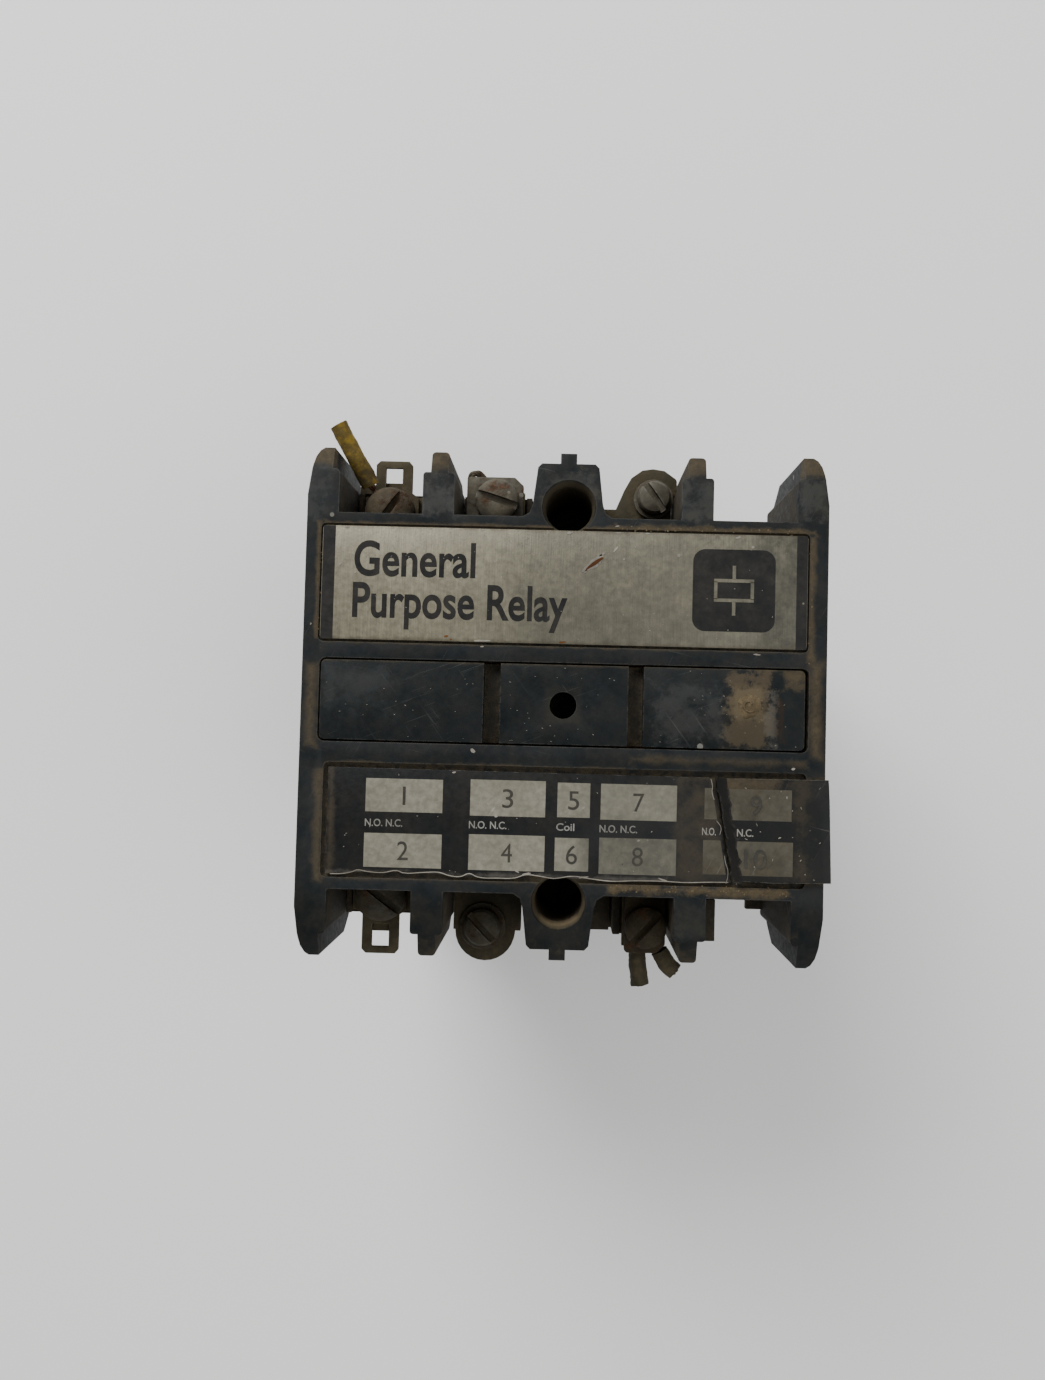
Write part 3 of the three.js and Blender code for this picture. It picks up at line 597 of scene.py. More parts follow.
class Look(Enum):
    """The finishes of the relay."""

    HOUSING = Finish(
        "housing_phenolic", (0.0042, 0.0066, 0.0084), (0.0092, 0.0118, 0.0136), 0.6, tone_scale=140.0,
        dust=TAN,
        dust_amount=0.8, film=0.09, reach=2.2, patches=BAY_DUST + TIP_DUST + FACE_DIRT_AND_SHADE + BORE_DUST_LIGHT_AND_SHADE,
        wear=(0.062, 0.06, 0.054), wear_share=0.6, speck=(0.13, 0.125, 0.11), speck_share=0.02,
        scratch=(0.045, 0.048, 0.049), scratch_share=0.42,
    )
    CARRIER = Finish(
        "carrier_phenolic", (0.0024, 0.0048, 0.006), (0.0058, 0.0084, 0.0098), 0.52, tone_scale=110.0,
        dust=TAN,
        dust_amount=0.8, film=0.07, reach=1.8, wear=(0.06, 0.06, 0.056), wear_share=0.5,
        scratch=(0.05, 0.053, 0.053), scratch_share=0.5, scratch_turn=1.2, speck=(0.14, 0.135, 0.12),
        speck_share=0.02,
        patches=(
            Patch((-11.4, 0.0, 74.4), (1.6, 7.0, 0.7), 0.6, 0.8, 0.5, (0.016, 0.012, 0.006)),
            Patch((11.6, 0.0, 74.4), (1.6, 7.0, 0.7), 0.6, 0.8, 0.5, (0.016, 0.012, 0.006)),
            Patch((29.7, 0.0, 76.0), (3.2, 6.3, 1.0), 0.75, 0.7, 2.2, TAN),
            Patch((29.4, 1.0, 76.0), (2.3, 2.6, 1.0), 0.7, 0.8, 1.2, (0.1, 0.078, 0.045)),
            Patch((33.3, -1.6, 76.0), (0.4, 4.4, 1.0), 0.45, 0.6, 2.0, (0.085, 0.08, 0.068)),
            Patch((36.8, 4.8, 76.0), (1.4, 1.4, 1.0), 0.9, 1.2, 1.6),
            Patch((34.9, -1.6, 76.0), (0.4, 3.2, 1.0), 0.6, 0.8, 1.4, (0.026, 0.013, 0.005)),
            Patch((0.0, 6.45, 76.0), (39.0, 0.25, 0.6), 0.5, 0.4, 0.3),
            Patch((-33.0, 2.0, 76.0), (4.5, 2.5, 0.6), 0.3, 2.5, 3.4, (0.045, 0.049, 0.05)),
            Patch((20.0, -1.0, 76.0), (4.5, 3.5, 0.6), 0.3, 2.0, 3.8, (0.06, 0.061, 0.058)),
            Patch((0.0, -0.1, 75.5), (2.7, 2.7, 0.7), 0.35, 0.7, 0.3, (0.03, 0.025, 0.016)),
        ),
    )
    DARK_BLOCK = Finish(
        "terminal_block_phenolic", (0.0075, 0.0075, 0.0068), (0.0135, 0.0125, 0.0105), 0.7, dust=TAN,
        dust_amount=0.8, film=0.45, reach=2.5, wear=(0.035, 0.03, 0.024),
    )
    COIL = Finish(
        "cast_coil_body", (0.029, 0.0265, 0.016), (0.042, 0.037, 0.023), 0.7, dust=TAN, dust_amount=0.8,
        film=0.35,
        # The patch is painted shade: it darkens the coil's ear at the lower terminal 6.
        patches=(Patch((-12.5, -37.0, 61.0), (6.5, 9.0, 3.0), 0.6, 1.0, 1.0, (0.013, 0.012, 0.0075)),),
        reach=2.5, wear=(0.08, 0.072, 0.055), speck=(0.1, 0.095, 0.08), speck_share=0.03,
    )
    TAPE = Finish(
        "coil_tape", (0.11, 0.088, 0.046), (0.075, 0.058, 0.03), 0.55, tone_scale=90.0, dust=TAN, film=0.25,
        coat=0.15,
    )
    PLATE = Finish(
        "nameplate_aluminium", (0.235, 0.218, 0.155), (0.19, 0.176, 0.125), 0.44, 0.5, tone_scale=60.0,
        dust=(0.075, 0.064, 0.042), dust_amount=0.35, film=0.1, reach=0.6, wear=(0.3, 0.28, 0.23),
        wear_share=0.3,
        speck=(0.05, 0.045, 0.035), speck_share=0.05, scratch=(0.33, 0.32, 0.27), scratch_share=0.12,
        brushed=True,
        gloss=0.5,
        patches=(
            # The first three patches are painted shade: the plate grows darker towards its right end and
            # along its lower middle. The last two are dust along its long edges.
            Patch((20.0, 19.0, 76.2), (24.0, 12.0, 0.5), 0.85, 16.0, 5.0, (0.062, 0.06, 0.047)),
            Patch((10.0, 11.5, 76.2), (14.0, 3.0, 0.5), 0.4, 8.0, 3.0, (0.05, 0.048, 0.038)),
            Patch((36.5, 19.0, 76.2), (4.5, 12.0, 0.5), 0.95, 7.0, 2.0, (0.016, 0.017, 0.016)),
            Patch((0.0, 9.8, 76.2), (39.0, 0.25, 0.5), 0.6, 0.4, 0.4, (0.06, 0.048, 0.03)),
            Patch((0.0, 28.0, 76.2), (39.0, 0.2, 0.5), 0.6, 0.4, 0.4, (0.06, 0.048, 0.03)),
        ),
    )
    INK = Finish(
        "plate_ink", (0.0075, 0.008, 0.0085), (0.0125, 0.0125, 0.0125), 0.5, dust=(0.07, 0.062, 0.047),
        dust_amount=0.2, film=0.12, speck=(0.13, 0.125, 0.1), speck_share=0.05,
    )
    FILM = Finish(
        "label_film", (0.0042, 0.0052, 0.006), (0.0078, 0.0086, 0.009), 0.42, coat=0.08, dust=TAN,
        dust_amount=0.5,
        film=0.06, reach=1.0, wear=(0.12, 0.115, 0.105), wear_share=0.4, wear_radius=0.2,
        speck=(0.14, 0.135, 0.12),
        speck_share=0.02, scratch=(0.055, 0.055, 0.055), scratch_share=0.25,
        patches=(
            Patch((22.0, -18.5, 76.0), (3.0, 9.0, 0.4), 0.45, 2.0, 2.6),
            Patch((-36.6, -19.0, 76.0), (0.4, 9.0, 0.4), 0.5, 0.8, 0.8),
            Patch((-10.0, -27.4, 76.0), (27.0, 0.15, 0.5), 0.5, 0.5, 0.6, (0.12, 0.112, 0.095)),
        ),
    )
    TORN_FILM = Finish(
        "torn_label_film", (0.0032, 0.0042, 0.0044), (0.0062, 0.0068, 0.0064), 0.4, coat=0.06, dust=TAN,
        dust_amount=0.5, film=0.03, reach=1.0, wear=(0.14, 0.135, 0.115), wear_share=0.6, wear_radius=0.25,
        speck=(0.14, 0.13, 0.115), speck_share=0.04, scratch=(0.08, 0.076, 0.066), scratch_share=0.45,
        patches=(
            Patch((29.5, -12.2, 76.7), (4.5, 1.2, 0.5), 0.8, 1.4, 1.6),
            Patch((38.0, -19.0, 76.7), (0.8, 8.0, 0.5), 0.35, 1.6, 2.6),
        ),
    )
    SILVER = Finish(
        "label_silver", (0.215, 0.203, 0.158), (0.18, 0.17, 0.13), 0.45, 0.25, dust=(0.075, 0.064, 0.042),
        dust_amount=0.3, film=0.08, speck=(0.05, 0.045, 0.036), speck_share=0.04, scratch=(0.3, 0.29, 0.25),
        scratch_share=0.12, gloss=0.4,
        patches=(
            # Both patches are painted shade: the silver boxes grow darker around the right-hand boxes,
            # darkest in the lower row.
            Patch((13.0, -20.0, 76.0), (8.0, 12.0, 0.5), 0.6, 9.0, 4.0, (0.066, 0.064, 0.05)),
            Patch((13.5, -25.5, 76.0), (9.0, 5.0, 0.5), 0.85, 3.5, 1.0, (0.028, 0.027, 0.021)),
        ),
    )
    DULL_SILVER = Finish(
        "torn_label_silver", (0.072, 0.068, 0.052), (0.046, 0.043, 0.033), 0.48, 0.2, dust=TAN,
        dust_amount=0.3,
        film=0.3, scratch=(0.15, 0.145, 0.125), scratch_share=0.5, speck=(0.18, 0.17, 0.15), speck_share=0.06,
    )
    CREASE = Finish(
        "label_crease", (0.0025, 0.003, 0.0032), (0.006, 0.006, 0.0055), 0.6, film=0.05,
        wear=(0.14, 0.135, 0.115),
        wear_share=0.5, speck=(0.12, 0.115, 0.1), speck_share=0.05,
    )
    DIGIT = Finish("digit_ink", (0.03, 0.029, 0.025), (0.042, 0.04, 0.034), 0.5, film=0.1)
    WHITE_INK = Finish("white_ink", (0.22, 0.215, 0.195), (0.15, 0.145, 0.13), 0.5, film=0.15)
    CHIP = Finish("pale_chips", (0.27, 0.255, 0.22), (0.17, 0.155, 0.13), 0.8, film=0.1)
    RUST_CHIP = Finish("rusty_chips", (0.13, 0.05, 0.012), (0.06, 0.024, 0.008), 0.9)
    MUD = Finish("dried_mud", (0.115, 0.088, 0.05), (0.075, 0.057, 0.032), 0.95, tone_scale=600.0, grain=1.0)
    STEEL = Finish(
        "zinc_steel", (0.092, 0.087, 0.068), (0.055, 0.051, 0.038), 0.55, 0.45, dust=TAN, dust_amount=0.8,
        film=0.4,
        reach=1.6, rust=RUST, rust_share=0.3, wear=(0.3, 0.29, 0.26), tone_scale=300.0, gloss=0.4,
    )
    # A darker copy of the zinc steel for the screws and washers at the lower terminals 2 and 6: partly grime,
    # partly painted shade.
    SHADED_GRIMY_STEEL = Finish(
        "shaded_grimy_steel", (0.06, 0.056, 0.044), (0.032, 0.029, 0.021), 0.6, 0.4, dust=(0.04, 0.033, 0.02),
        dust_amount=0.85, film=0.55, reach=1.8, rust=RUST, rust_share=0.35, wear=(0.17, 0.16, 0.13),
        tone_scale=300.0,
    )
    RUSTY_STEEL = Finish(
        "rusted_steel", (0.066, 0.056, 0.039), (0.04, 0.032, 0.021), 0.7, 0.25, dust=(0.054, 0.042, 0.026),
        dust_amount=0.85, film=0.6, reach=1.8, rust=RUST, rust_share=0.38, wear=(0.17, 0.145, 0.1),
        tone_scale=320.0,
    )
    # A darker copy of the rusted steel for terminal 8's screw and clamp at the lower edge and for the
    # assembly screws deep in the bores: partly rust, partly painted shade.
    SHADED_DARK_RUST = Finish(
        "shaded_dark_rusted_steel", (0.031, 0.025, 0.015), (0.018, 0.0145, 0.009), 0.75, 0.15,
        dust=(0.036, 0.029, 0.017),
        dust_amount=0.8, film=0.5, reach=1.8, rust=RUST, rust_share=0.32, wear=(0.1, 0.08, 0.05),
        tone_scale=320.0,
    )
    PALE_CLAMP = Finish(
        "zinc_clamp", (0.11, 0.104, 0.085), (0.062, 0.058, 0.046), 0.62, 0.3, dust=(0.075, 0.06, 0.037),
        dust_amount=0.8, film=0.4, rust=((0.07, 0.022, 0.009), (0.03, 0.011, 0.006)), rust_share=0.3,
        wear=(0.25, 0.24, 0.21), tone_scale=260.0, speck=(0.2, 0.19, 0.165), speck_share=0.04,
    )
    BRASS = Finish(
        "tarnished_brass", (0.062, 0.055, 0.034), (0.038, 0.033, 0.02), 0.58, 0.5, dust=TAN, dust_amount=0.8,
        film=0.4, wear=(0.2, 0.165, 0.09), tone_scale=260.0,
    )
    COPPER = Finish(
        "tarnished_copper", (0.2, 0.09, 0.045), (0.11, 0.045, 0.024), 0.45, 0.85, dust=TAN, dust_amount=0.5,
        film=0.15, wear=(0.5, 0.26, 0.15), tone_scale=260.0, gloss=0.5,
    )
    CONTACT = Finish(
        "silver_contact", (0.5, 0.49, 0.46), (0.33, 0.31, 0.27), 0.4, 0.9, film=0.1, tone_scale=500.0,
        gloss=0.5,
    )
    SPRING = Finish("spring_wire", (0.3, 0.29, 0.27), (0.2, 0.19, 0.175), 0.38, 0.9, film=0.1, gloss=0.5)
    CORE = Finish(
        "core_laminations", (0.1, 0.097, 0.09), (0.06, 0.055, 0.048), 0.5, 0.75, film=0.12, laminated=True,
        rust=RUST, rust_share=0.15, tone_scale=200.0, gloss=0.5,
    )
    BASE = Finish(
        "zinc_base_plate", (0.2, 0.195, 0.175), (0.12, 0.115, 0.1), 0.48, 0.65, dust=TAN, dust_amount=0.7,
        film=0.3,
        reach=3.0, rust=RUST, rust_share=0.15, wear=(0.33, 0.32, 0.29), scratch=(0.3, 0.29, 0.26),
        scratch_share=0.3, speck=(0.06, 0.035, 0.015), speck_share=0.06, gloss=0.5,
    )
    YELLOW_WIRE = Finish(
        "aged_yellow_vinyl", (0.21, 0.138, 0.014), (0.115, 0.077, 0.013), 0.55, tone_scale=420.0,
        dust=(0.045, 0.036, 0.02), dust_amount=0.6, film=0.35, speck=(0.014, 0.012, 0.007), speck_share=0.12,
        patches=(Patch((-34.2, 38.3, 66.8), (1.6, 2.0, 2.2), 0.8, 1.4, 1.2, (0.016, 0.014, 0.007)),),
    )
    OLIVE_WIRE = Finish(
        "aged_olive_vinyl", (0.028, 0.0255, 0.0135), (0.017, 0.0155, 0.009), 0.62, tone_scale=380.0, dust=TAN,
        dust_amount=0.6, film=0.35, speck=(0.09, 0.075, 0.045), speck_share=0.08,
    )
    RUBBER = Finish("rubber_pads", (0.012, 0.012, 0.012), (0.02, 0.02, 0.02), 0.85, film=0.15)


# ---------------------------------------------------------------- mesh helpers
def publish(
    name: str, bm: bmesh.types.BMesh, look: Look, body: str, hides: Sequence[str] = (),
    sharp: float = 32.0
) -> bpy.types.Object:
    """Turns a mesh in millimetres into a finished piece.

    Args:
        name: the piece's name.
        bm: the mesh, which is freed.
        look: its finish.
        body: the body it rides on.
        hides: the nodes it stands for.
        sharp: the angle in degrees past which an edge stays crisp.

    Returns:
        The piece.
    """
    bmesh.ops.scale(bm, vec=(MM,) * 3, verts=bm.verts)
    mesh = bpy.data.meshes.new(name)
    bm.to_mesh(mesh)
    bm.free()
    if "custom_normal" in mesh.attributes:
        mesh.attributes.remove(mesh.attributes["custom_normal"])
    mesh.materials.clear()
    mesh.materials.append(look.value.material())
    for face in mesh.polygons:
        face.material_index = 0
        face.use_smooth = True
    mesh.set_sharp_from_angle(angle=math.radians(sharp))
    piece = bpy.data.objects.new(name, mesh)
    bpy.context.scene.collection.objects.link(piece)
    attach(piece, body)
    if hides:
        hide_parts(*hides)
    return piece


def from_node(node: str, soft: float = 0.18, segments: int = 2, angle: float = 30.0) -> bmesh.types.BMesh:
    """Copies a node's mesh in millimetres, merges it and rounds its edges.

    Args:
        node: the node's name.
        soft: how much each sharp edge is rounded, in millimetres.
        segments: the rounding's facets.
        angle: edges bent by more than this many degrees are rounded.

    Returns:
        The mesh.
    """
    bm = bmesh.new()
    bm.from_mesh(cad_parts[node].data)
    bmesh.ops.scale(bm, vec=(1 / MM,) * 3, verts=bm.verts)
    bmesh.ops.remove_doubles(bm, verts=bm.verts, dist=0.002)
    bmesh.ops.dissolve_limit(bm, angle_limit=math.radians(1.5), verts=bm.verts, edges=bm.edges)
    edges = [e for e in bm.edges if e.is_manifold and e.calc_face_angle(0.0) > math.radians(angle)]
    if soft and edges:
        bmesh.ops.bevel(
            bm, geom=edges, offset=soft, offset_type="OFFSET", segments=segments, profile=0.5, affect="EDGES",
            clamp_overlap=True, material=-1,
        )
    bmesh.ops.triangulate(bm, faces=[f for f in bm.faces if len(f.verts) > 4])
    return bm


def add_block(
    bm: bmesh.types.BMesh, low: Sequence[float], high: Sequence[float], soft: float = 0.0, turn: float = 0.0
) -> list[bmesh.types.BMVert]:
    """Adds a block with rounded edges.

    Args:
        bm: the mesh.
        low: its lowest corner.
        high: its highest corner.
        soft: the rounding.
        turn: its turn about Z through its own centre, in radians.

    Returns:
        The block's vertices.
    """
    start = set(bm.verts)
    size = Vector(high) - Vector(low)
    middle = (Vector(high) + Vector(low)) / 2
    place = Matrix.Translation(middle) @ Matrix.Rotation(turn, 4, "Z") @ Matrix.Diagonal((*size, 1.0))
    cube = bmesh.ops.create_cube(bm, size=1.0, matrix=place)
    if soft:
        edges = list({e for v in cube["verts"] for e in v.link_edges})
        bmesh.ops.bevel(
            bm, geom=edges, offset=soft, segments=2, profile=0.5, affect="EDGES", clamp_overlap=True,
            material=-1
        )
    return [v for v in bm.verts if v not in start]


def add_lathe(
    bm: bmesh.types.BMesh, profile: Iterable[tuple[float, float]], x: float, y: float, steps: int = 48
) -> list[bmesh.types.BMVert]:
    """Spins a profile of radius and height round an upright axis.

    Args:
        bm: the mesh.
        profile: the points; the first and last lie on the axis or meet.
        x: the axis's X.
        y: the axis's Y.
        steps: facets round the axis.

    Returns:
        The new vertices.
    """
    start = set(bm.verts)
    line = [bm.verts.new((x + r, y, z)) for r, z in profile]
    edges = [bm.edges.new(pair) for pair in zip(line, line[1:])]
    bmesh.ops.spin(
        bm, geom=line + edges, cent=(x, y, 0), axis=(0, 0, 1), angle=math.tau, steps=steps, use_merge=True
    )
    made = [v for v in bm.verts if v not in start]
    bmesh.ops.remove_doubles(bm, verts=made, dist=1e-4)
    made = [v for v in bm.verts if v not in start]
    bmesh.ops.recalc_face_normals(bm, faces=list({f for v in made for f in v.link_faces}))
    return made


def add_outline(
    bm: bmesh.types.BMesh, outline: Iterable[tuple[float, float]], z0: float, z1: float
) -> list[bmesh.types.BMVert]:
    """Raises a flat outline from z0 to z1 and returns its vertices.

    Args:
        bm: the mesh.
        outline: the corners in order, as X and Y.
        z0: the level of the outline.
        z1: the level it is raised to.

    Returns:
        The new vertices.
    """
    start = set(bm.verts)
    face = bm.faces.new([bm.verts.new((x, y, z0)) for x, y in outline])
    raised = bmesh.ops.extrude_face_region(bm, geom=[face])["geom"]
    bmesh.ops.translate(
        bm, vec=(0, 0, z1 - z0), verts=[g for g in raised if isinstance(g, bmesh.types.BMVert)]
    )
    made = [v for v in bm.verts if v not in start]
    faces = list({f for v in made for f in v.link_faces})
    bmesh.ops.recalc_face_normals(bm, faces=faces)
    bmesh.ops.triangulate(bm, faces=[f for f in faces if len(f.verts) > 4])
    return made


def add_flake(
    bm: bmesh.types.BMesh, dice: random.Random, x: float, y: float, z: float,
    long: float, wide: float, turn: float = 0.0, thick: float = 0.05,
) -> None:
    """Adds a ragged flake lying at z.

    Args:
        bm: the mesh.
        dice: the source of chance.
        x: its centre's X.
        y: its centre's Y.
        z: its underside.
        long: its length.
        wide: its width.
        turn: its direction in radians.
        thick: its thickness.
    """
    count = dice.randint(7, 11)
    points = []
    for i in range(count):
        a = math.tau * (i + dice.uniform(-0.25, 0.25)) / count
        u, v = (
            dice.uniform(0.55, 1.0) * math.cos(a) * long / 2,
            dice.uniform(0.55, 1.0) * math.sin(a) * wide / 2,
        )
        points.append(
            (x + u * math.cos(turn) - v * math.sin(turn), y + u * math.sin(turn) + v * math.cos(turn))
        )
    add_outline(bm, points, z, z + thick)


def mesh_of(curve: bpy.types.Curve) -> bmesh.types.BMesh:
    """Turns a curve or text into a mesh and drops the curve.

    Args:
        curve: the curve or text, which is removed.

    Returns:
        The mesh.
    """
    holder = bpy.data.objects.new("holder", curve)
    bpy.context.scene.collection.objects.link(holder)
    bpy.context.view_layer.update()
    mesh = bpy.data.meshes.new_from_object(holder.evaluated_get(bpy.context.evaluated_depsgraph_get()))
    bm = bmesh.new()
    bm.from_mesh(mesh)
    bpy.data.objects.remove(holder)
    bpy.data.curves.remove(curve)
    bpy.data.meshes.remove(mesh)
    bmesh.ops.remove_doubles(bm, verts=bm.verts, dist=1e-5)
    return bm


def tube(
    points: Sequence[Sequence[float]], radius: float, facets: int = 6, steps: int = 10
) -> bmesh.types.BMesh:
    """Makes a closed round tube along a smooth line through points.

    Args:
        points: the points, in millimetres.
        radius: the tube's radius.
        facets: a measure of how round it is.
        steps: divisions between two points.

    Returns:
        The mesh.
    """
    curve = bpy.data.curves.new("line", "CURVE")
    curve.dimensions = "3D"
    curve.bevel_depth = radius
    curve.bevel_resolution = facets
    curve.use_fill_caps = True
    spline = curve.splines.new("BEZIER")
    spline.bezier_points.add(len(points) - 1)
    for knot, point in zip(spline.bezier_points, points):
        knot.co = point
        knot.handle_left_type = knot.handle_right_type = "AUTO"
    spline.resolution_u = steps
    bm = mesh_of(curve)
    bmesh.ops.recalc_face_normals(bm, faces=bm.faces)
    return bm


def roughen(bm: bmesh.types.BMesh, amount: float, scale: float, seed: float = 0.0) -> None:
    """Pushes each vertex along its normal by smooth noise.

    Args:
        bm: the mesh.
        amount: the largest push, in millimetres.
        scale: the noise's frequency, per millimetre.
        seed: moves the noise.
    """
    bm.normal_update()
    moves = [
        (v, v.normal * amount * noise.noise(v.co * scale + Vector((seed, seed, seed)))) for v in bm.verts
    ]
    for vert, move in moves:
        vert.co += move


def letters(words: str, x: float, y: float, z: float, cap: float, width: float, bold: float = 0.0,
            thick: float = 0.03) -> bmesh.types.BMesh:
    """Makes flat lettering with its baseline's left end at x, y.

    Args:
        words: the text.
        x: where it starts.
        y: its baseline.
        z: its underside.
        cap: the height of its capitals.
        width: its whole width.
        bold: thickening of the strokes, as a share of the font's size.
        thick: its thickness.

    Returns:
        The mesh.
    """
    text = bpy.data.curves.new("words", "FONT")
    text.body = words
    text.offset = bold
    text.extrude = 0.5
    text.resolution_u = 6
    bm = mesh_of(text)
    left = min(v.co.x for v in bm.verts)
    right = max(v.co.x for v in bm.verts)
    capital = 0.7
    bmesh.ops.translate(bm, vec=(-left, 0, 0.5), verts=bm.verts)
    bmesh.ops.scale(bm, vec=(width / (right - left), cap / capital, thick), verts=bm.verts)
    bmesh.ops.translate(bm, vec=(x, y, z), verts=bm.verts)
    bmesh.ops.recalc_face_normals(bm, faces=bm.faces)
    return bm


def join_into(target: bmesh.types.BMesh, source: bmesh.types.BMesh) -> None:
    """Adds one mesh to another and frees the first.

    Args:
        target: the mesh that grows.
        source: the mesh that is added, then freed.
    """
    spare = bpy.data.meshes.new("spare")
    source.to_mesh(spare)
    source.free()
    target.from_mesh(spare)
    bpy.data.meshes.remove(spare)


def cut_with(bm: bmesh.types.BMesh, tool: bmesh.types.BMesh) -> bmesh.types.BMesh:
    """Cuts a tool's solid out of a mesh and returns the result; both are freed.

    Args:
        bm: the mesh to cut, which is freed.
        tool: the solid to cut away, which is freed.

    Returns:
        The mesh that is left.
    """
    objects = []
    for each in (bm, tool):
        mesh = bpy.data.meshes.new("cut")
        each.to_mesh(mesh)
        each.free()
        thing = bpy.data.objects.new("cut", mesh)
        bpy.context.scene.collection.objects.link(thing)
        objects.append(thing)
    body, cutter = objects
    step = body.modifiers.new("cut", "BOOLEAN")
    step.operation, step.solver, step.object = "DIFFERENCE", "EXACT", cutter
    bpy.context.view_layer.update()
    mesh = bpy.data.meshes.new_from_object(body.evaluated_get(bpy.context.evaluated_depsgraph_get()))
    result = bmesh.new()
    result.from_mesh(mesh)
    for thing in objects:
        old = thing.data
        bpy.data.objects.remove(thing)
        bpy.data.meshes.remove(old)
    bpy.data.meshes.remove(mesh)
    bmesh.ops.remove_doubles(result, verts=result.verts, dist=1e-4)
    return result


# ---------------------------------------------------------------- sub-assemblies
def carried_over(
    node: str, look: Look, body: str, slot: str, soft: float = 0.18, **more: float
) -> bpy.types.Object:
    """Rounds a copy of a node's shape and puts it in the node's place.

    Args:
        node: the node's name.
        look: its finish.
        body: the body it rides on.
        slot: the record's material slot; not used.
        soft: the rounding of its edges.
        more: further values for from_node.

    Returns:
        The piece.
    """
    return publish(node + "_shape", from_node(node, soft, **more), look, body, [node])


@dataclass
class FrontHousing:
    """The moulded front with its pole walls, bosses and slot."""

    soft: float = 0.2

    def build(self) -> list[bpy.types.Object]:
        """Builds the housing and the chips and crumbs that lie on it."""
        housing = carried_over("front_housing", Look.HOUSING, "frame", "phenolic", self.soft)
        return [housing, self.chips(), self.crumbs()]

    def chips(self) -> bpy.types.Object:
        """Pale chips and lifted flakes on the front face.

        Returns:
            The finished piece.
        """
        bm = bmesh.new()
        dice = random.Random(3)
        for x, y, long, wide, turn in (
            (-14.2, -7.7, 1.3, 0.7, -0.7), (-13.2, 9.0, 0.9, 0.25, 0.1), (30.8, 8.8, 1.4, 0.3, -0.1),
            (36.9, -9.3, 0.7, 0.5, 0.4), (-40.8, 12.0, 0.5, 0.3, 1.2), (8.0, 28.9, 0.8, 0.3, 0.2),
        ):
            add_flake(bm, dice, x, y, FRONT - 0.01, long, wide, turn)
        return publish("housing_chips", bm, Look.CHIP, "frame")

    def crumbs(self) -> bpy.types.Object:
        """Crumbs of dried dirt along the lower edge and in the corners.

        Returns:
            The finished piece.
        """
        bm = bmesh.new()
        dice = random.Random(8)
        for _ in range(110):
            x, y = dice.uniform(8.0, 36.5), -28.9 + dice.gauss(0.0, 0.3)
            self.crumb(bm, dice, x, y, FRONT - 0.03, dice.uniform(0.08, 0.22))
        for _ in range(60):
            x, y = dice.uniform(8.0, 37.0), 28.6 + dice.gauss(0.0, 0.2)
            self.crumb(bm, dice, x, y, FRONT - 0.05, dice.uniform(0.08, 0.22))
        for _ in range(50):
            x, y = dice.choice((-39.5, 39.3)) + dice.gauss(0.0, 0.25), dice.uniform(-7.5, 28.0)
            if abs(y) > 7.2:
                self.crumb(bm, dice, x, y, FRONT - 0.05, dice.uniform(0.08, 0.2))
        return publish("housing_crumbs", bm, Look.MUD, "frame")

    @staticmethod
    def crumb(bm: bmesh.types.BMesh, dice: random.Random, x: float, y: float, z: float, size: float) -> None:
        """Adds one flattened, uneven grain of dirt.

        Args:
            bm: the mesh.
            dice: the source of chance.
            x: its centre's X.
            y: its centre's Y.
            z: its centre's Z.
            size: its radius.
        """
        place = Matrix.Translation((x, y, z)) @ Matrix.Rotation(dice.uniform(0, 3), 4, "Z")
        grain = bmesh.ops.create_icosphere(
            bm, subdivisions=1, radius=size,
            matrix=place @ Matrix.Diagonal((1.0, dice.uniform(0.5, 1.0), 0.5, 1.0))
        )
        for vert in grain["verts"]:
            vert.co += Vector(
                (dice.uniform(-1, 1), dice.uniform(-1, 1), dice.uniform(-0.5, 0.5))
            ) * size * 0.2


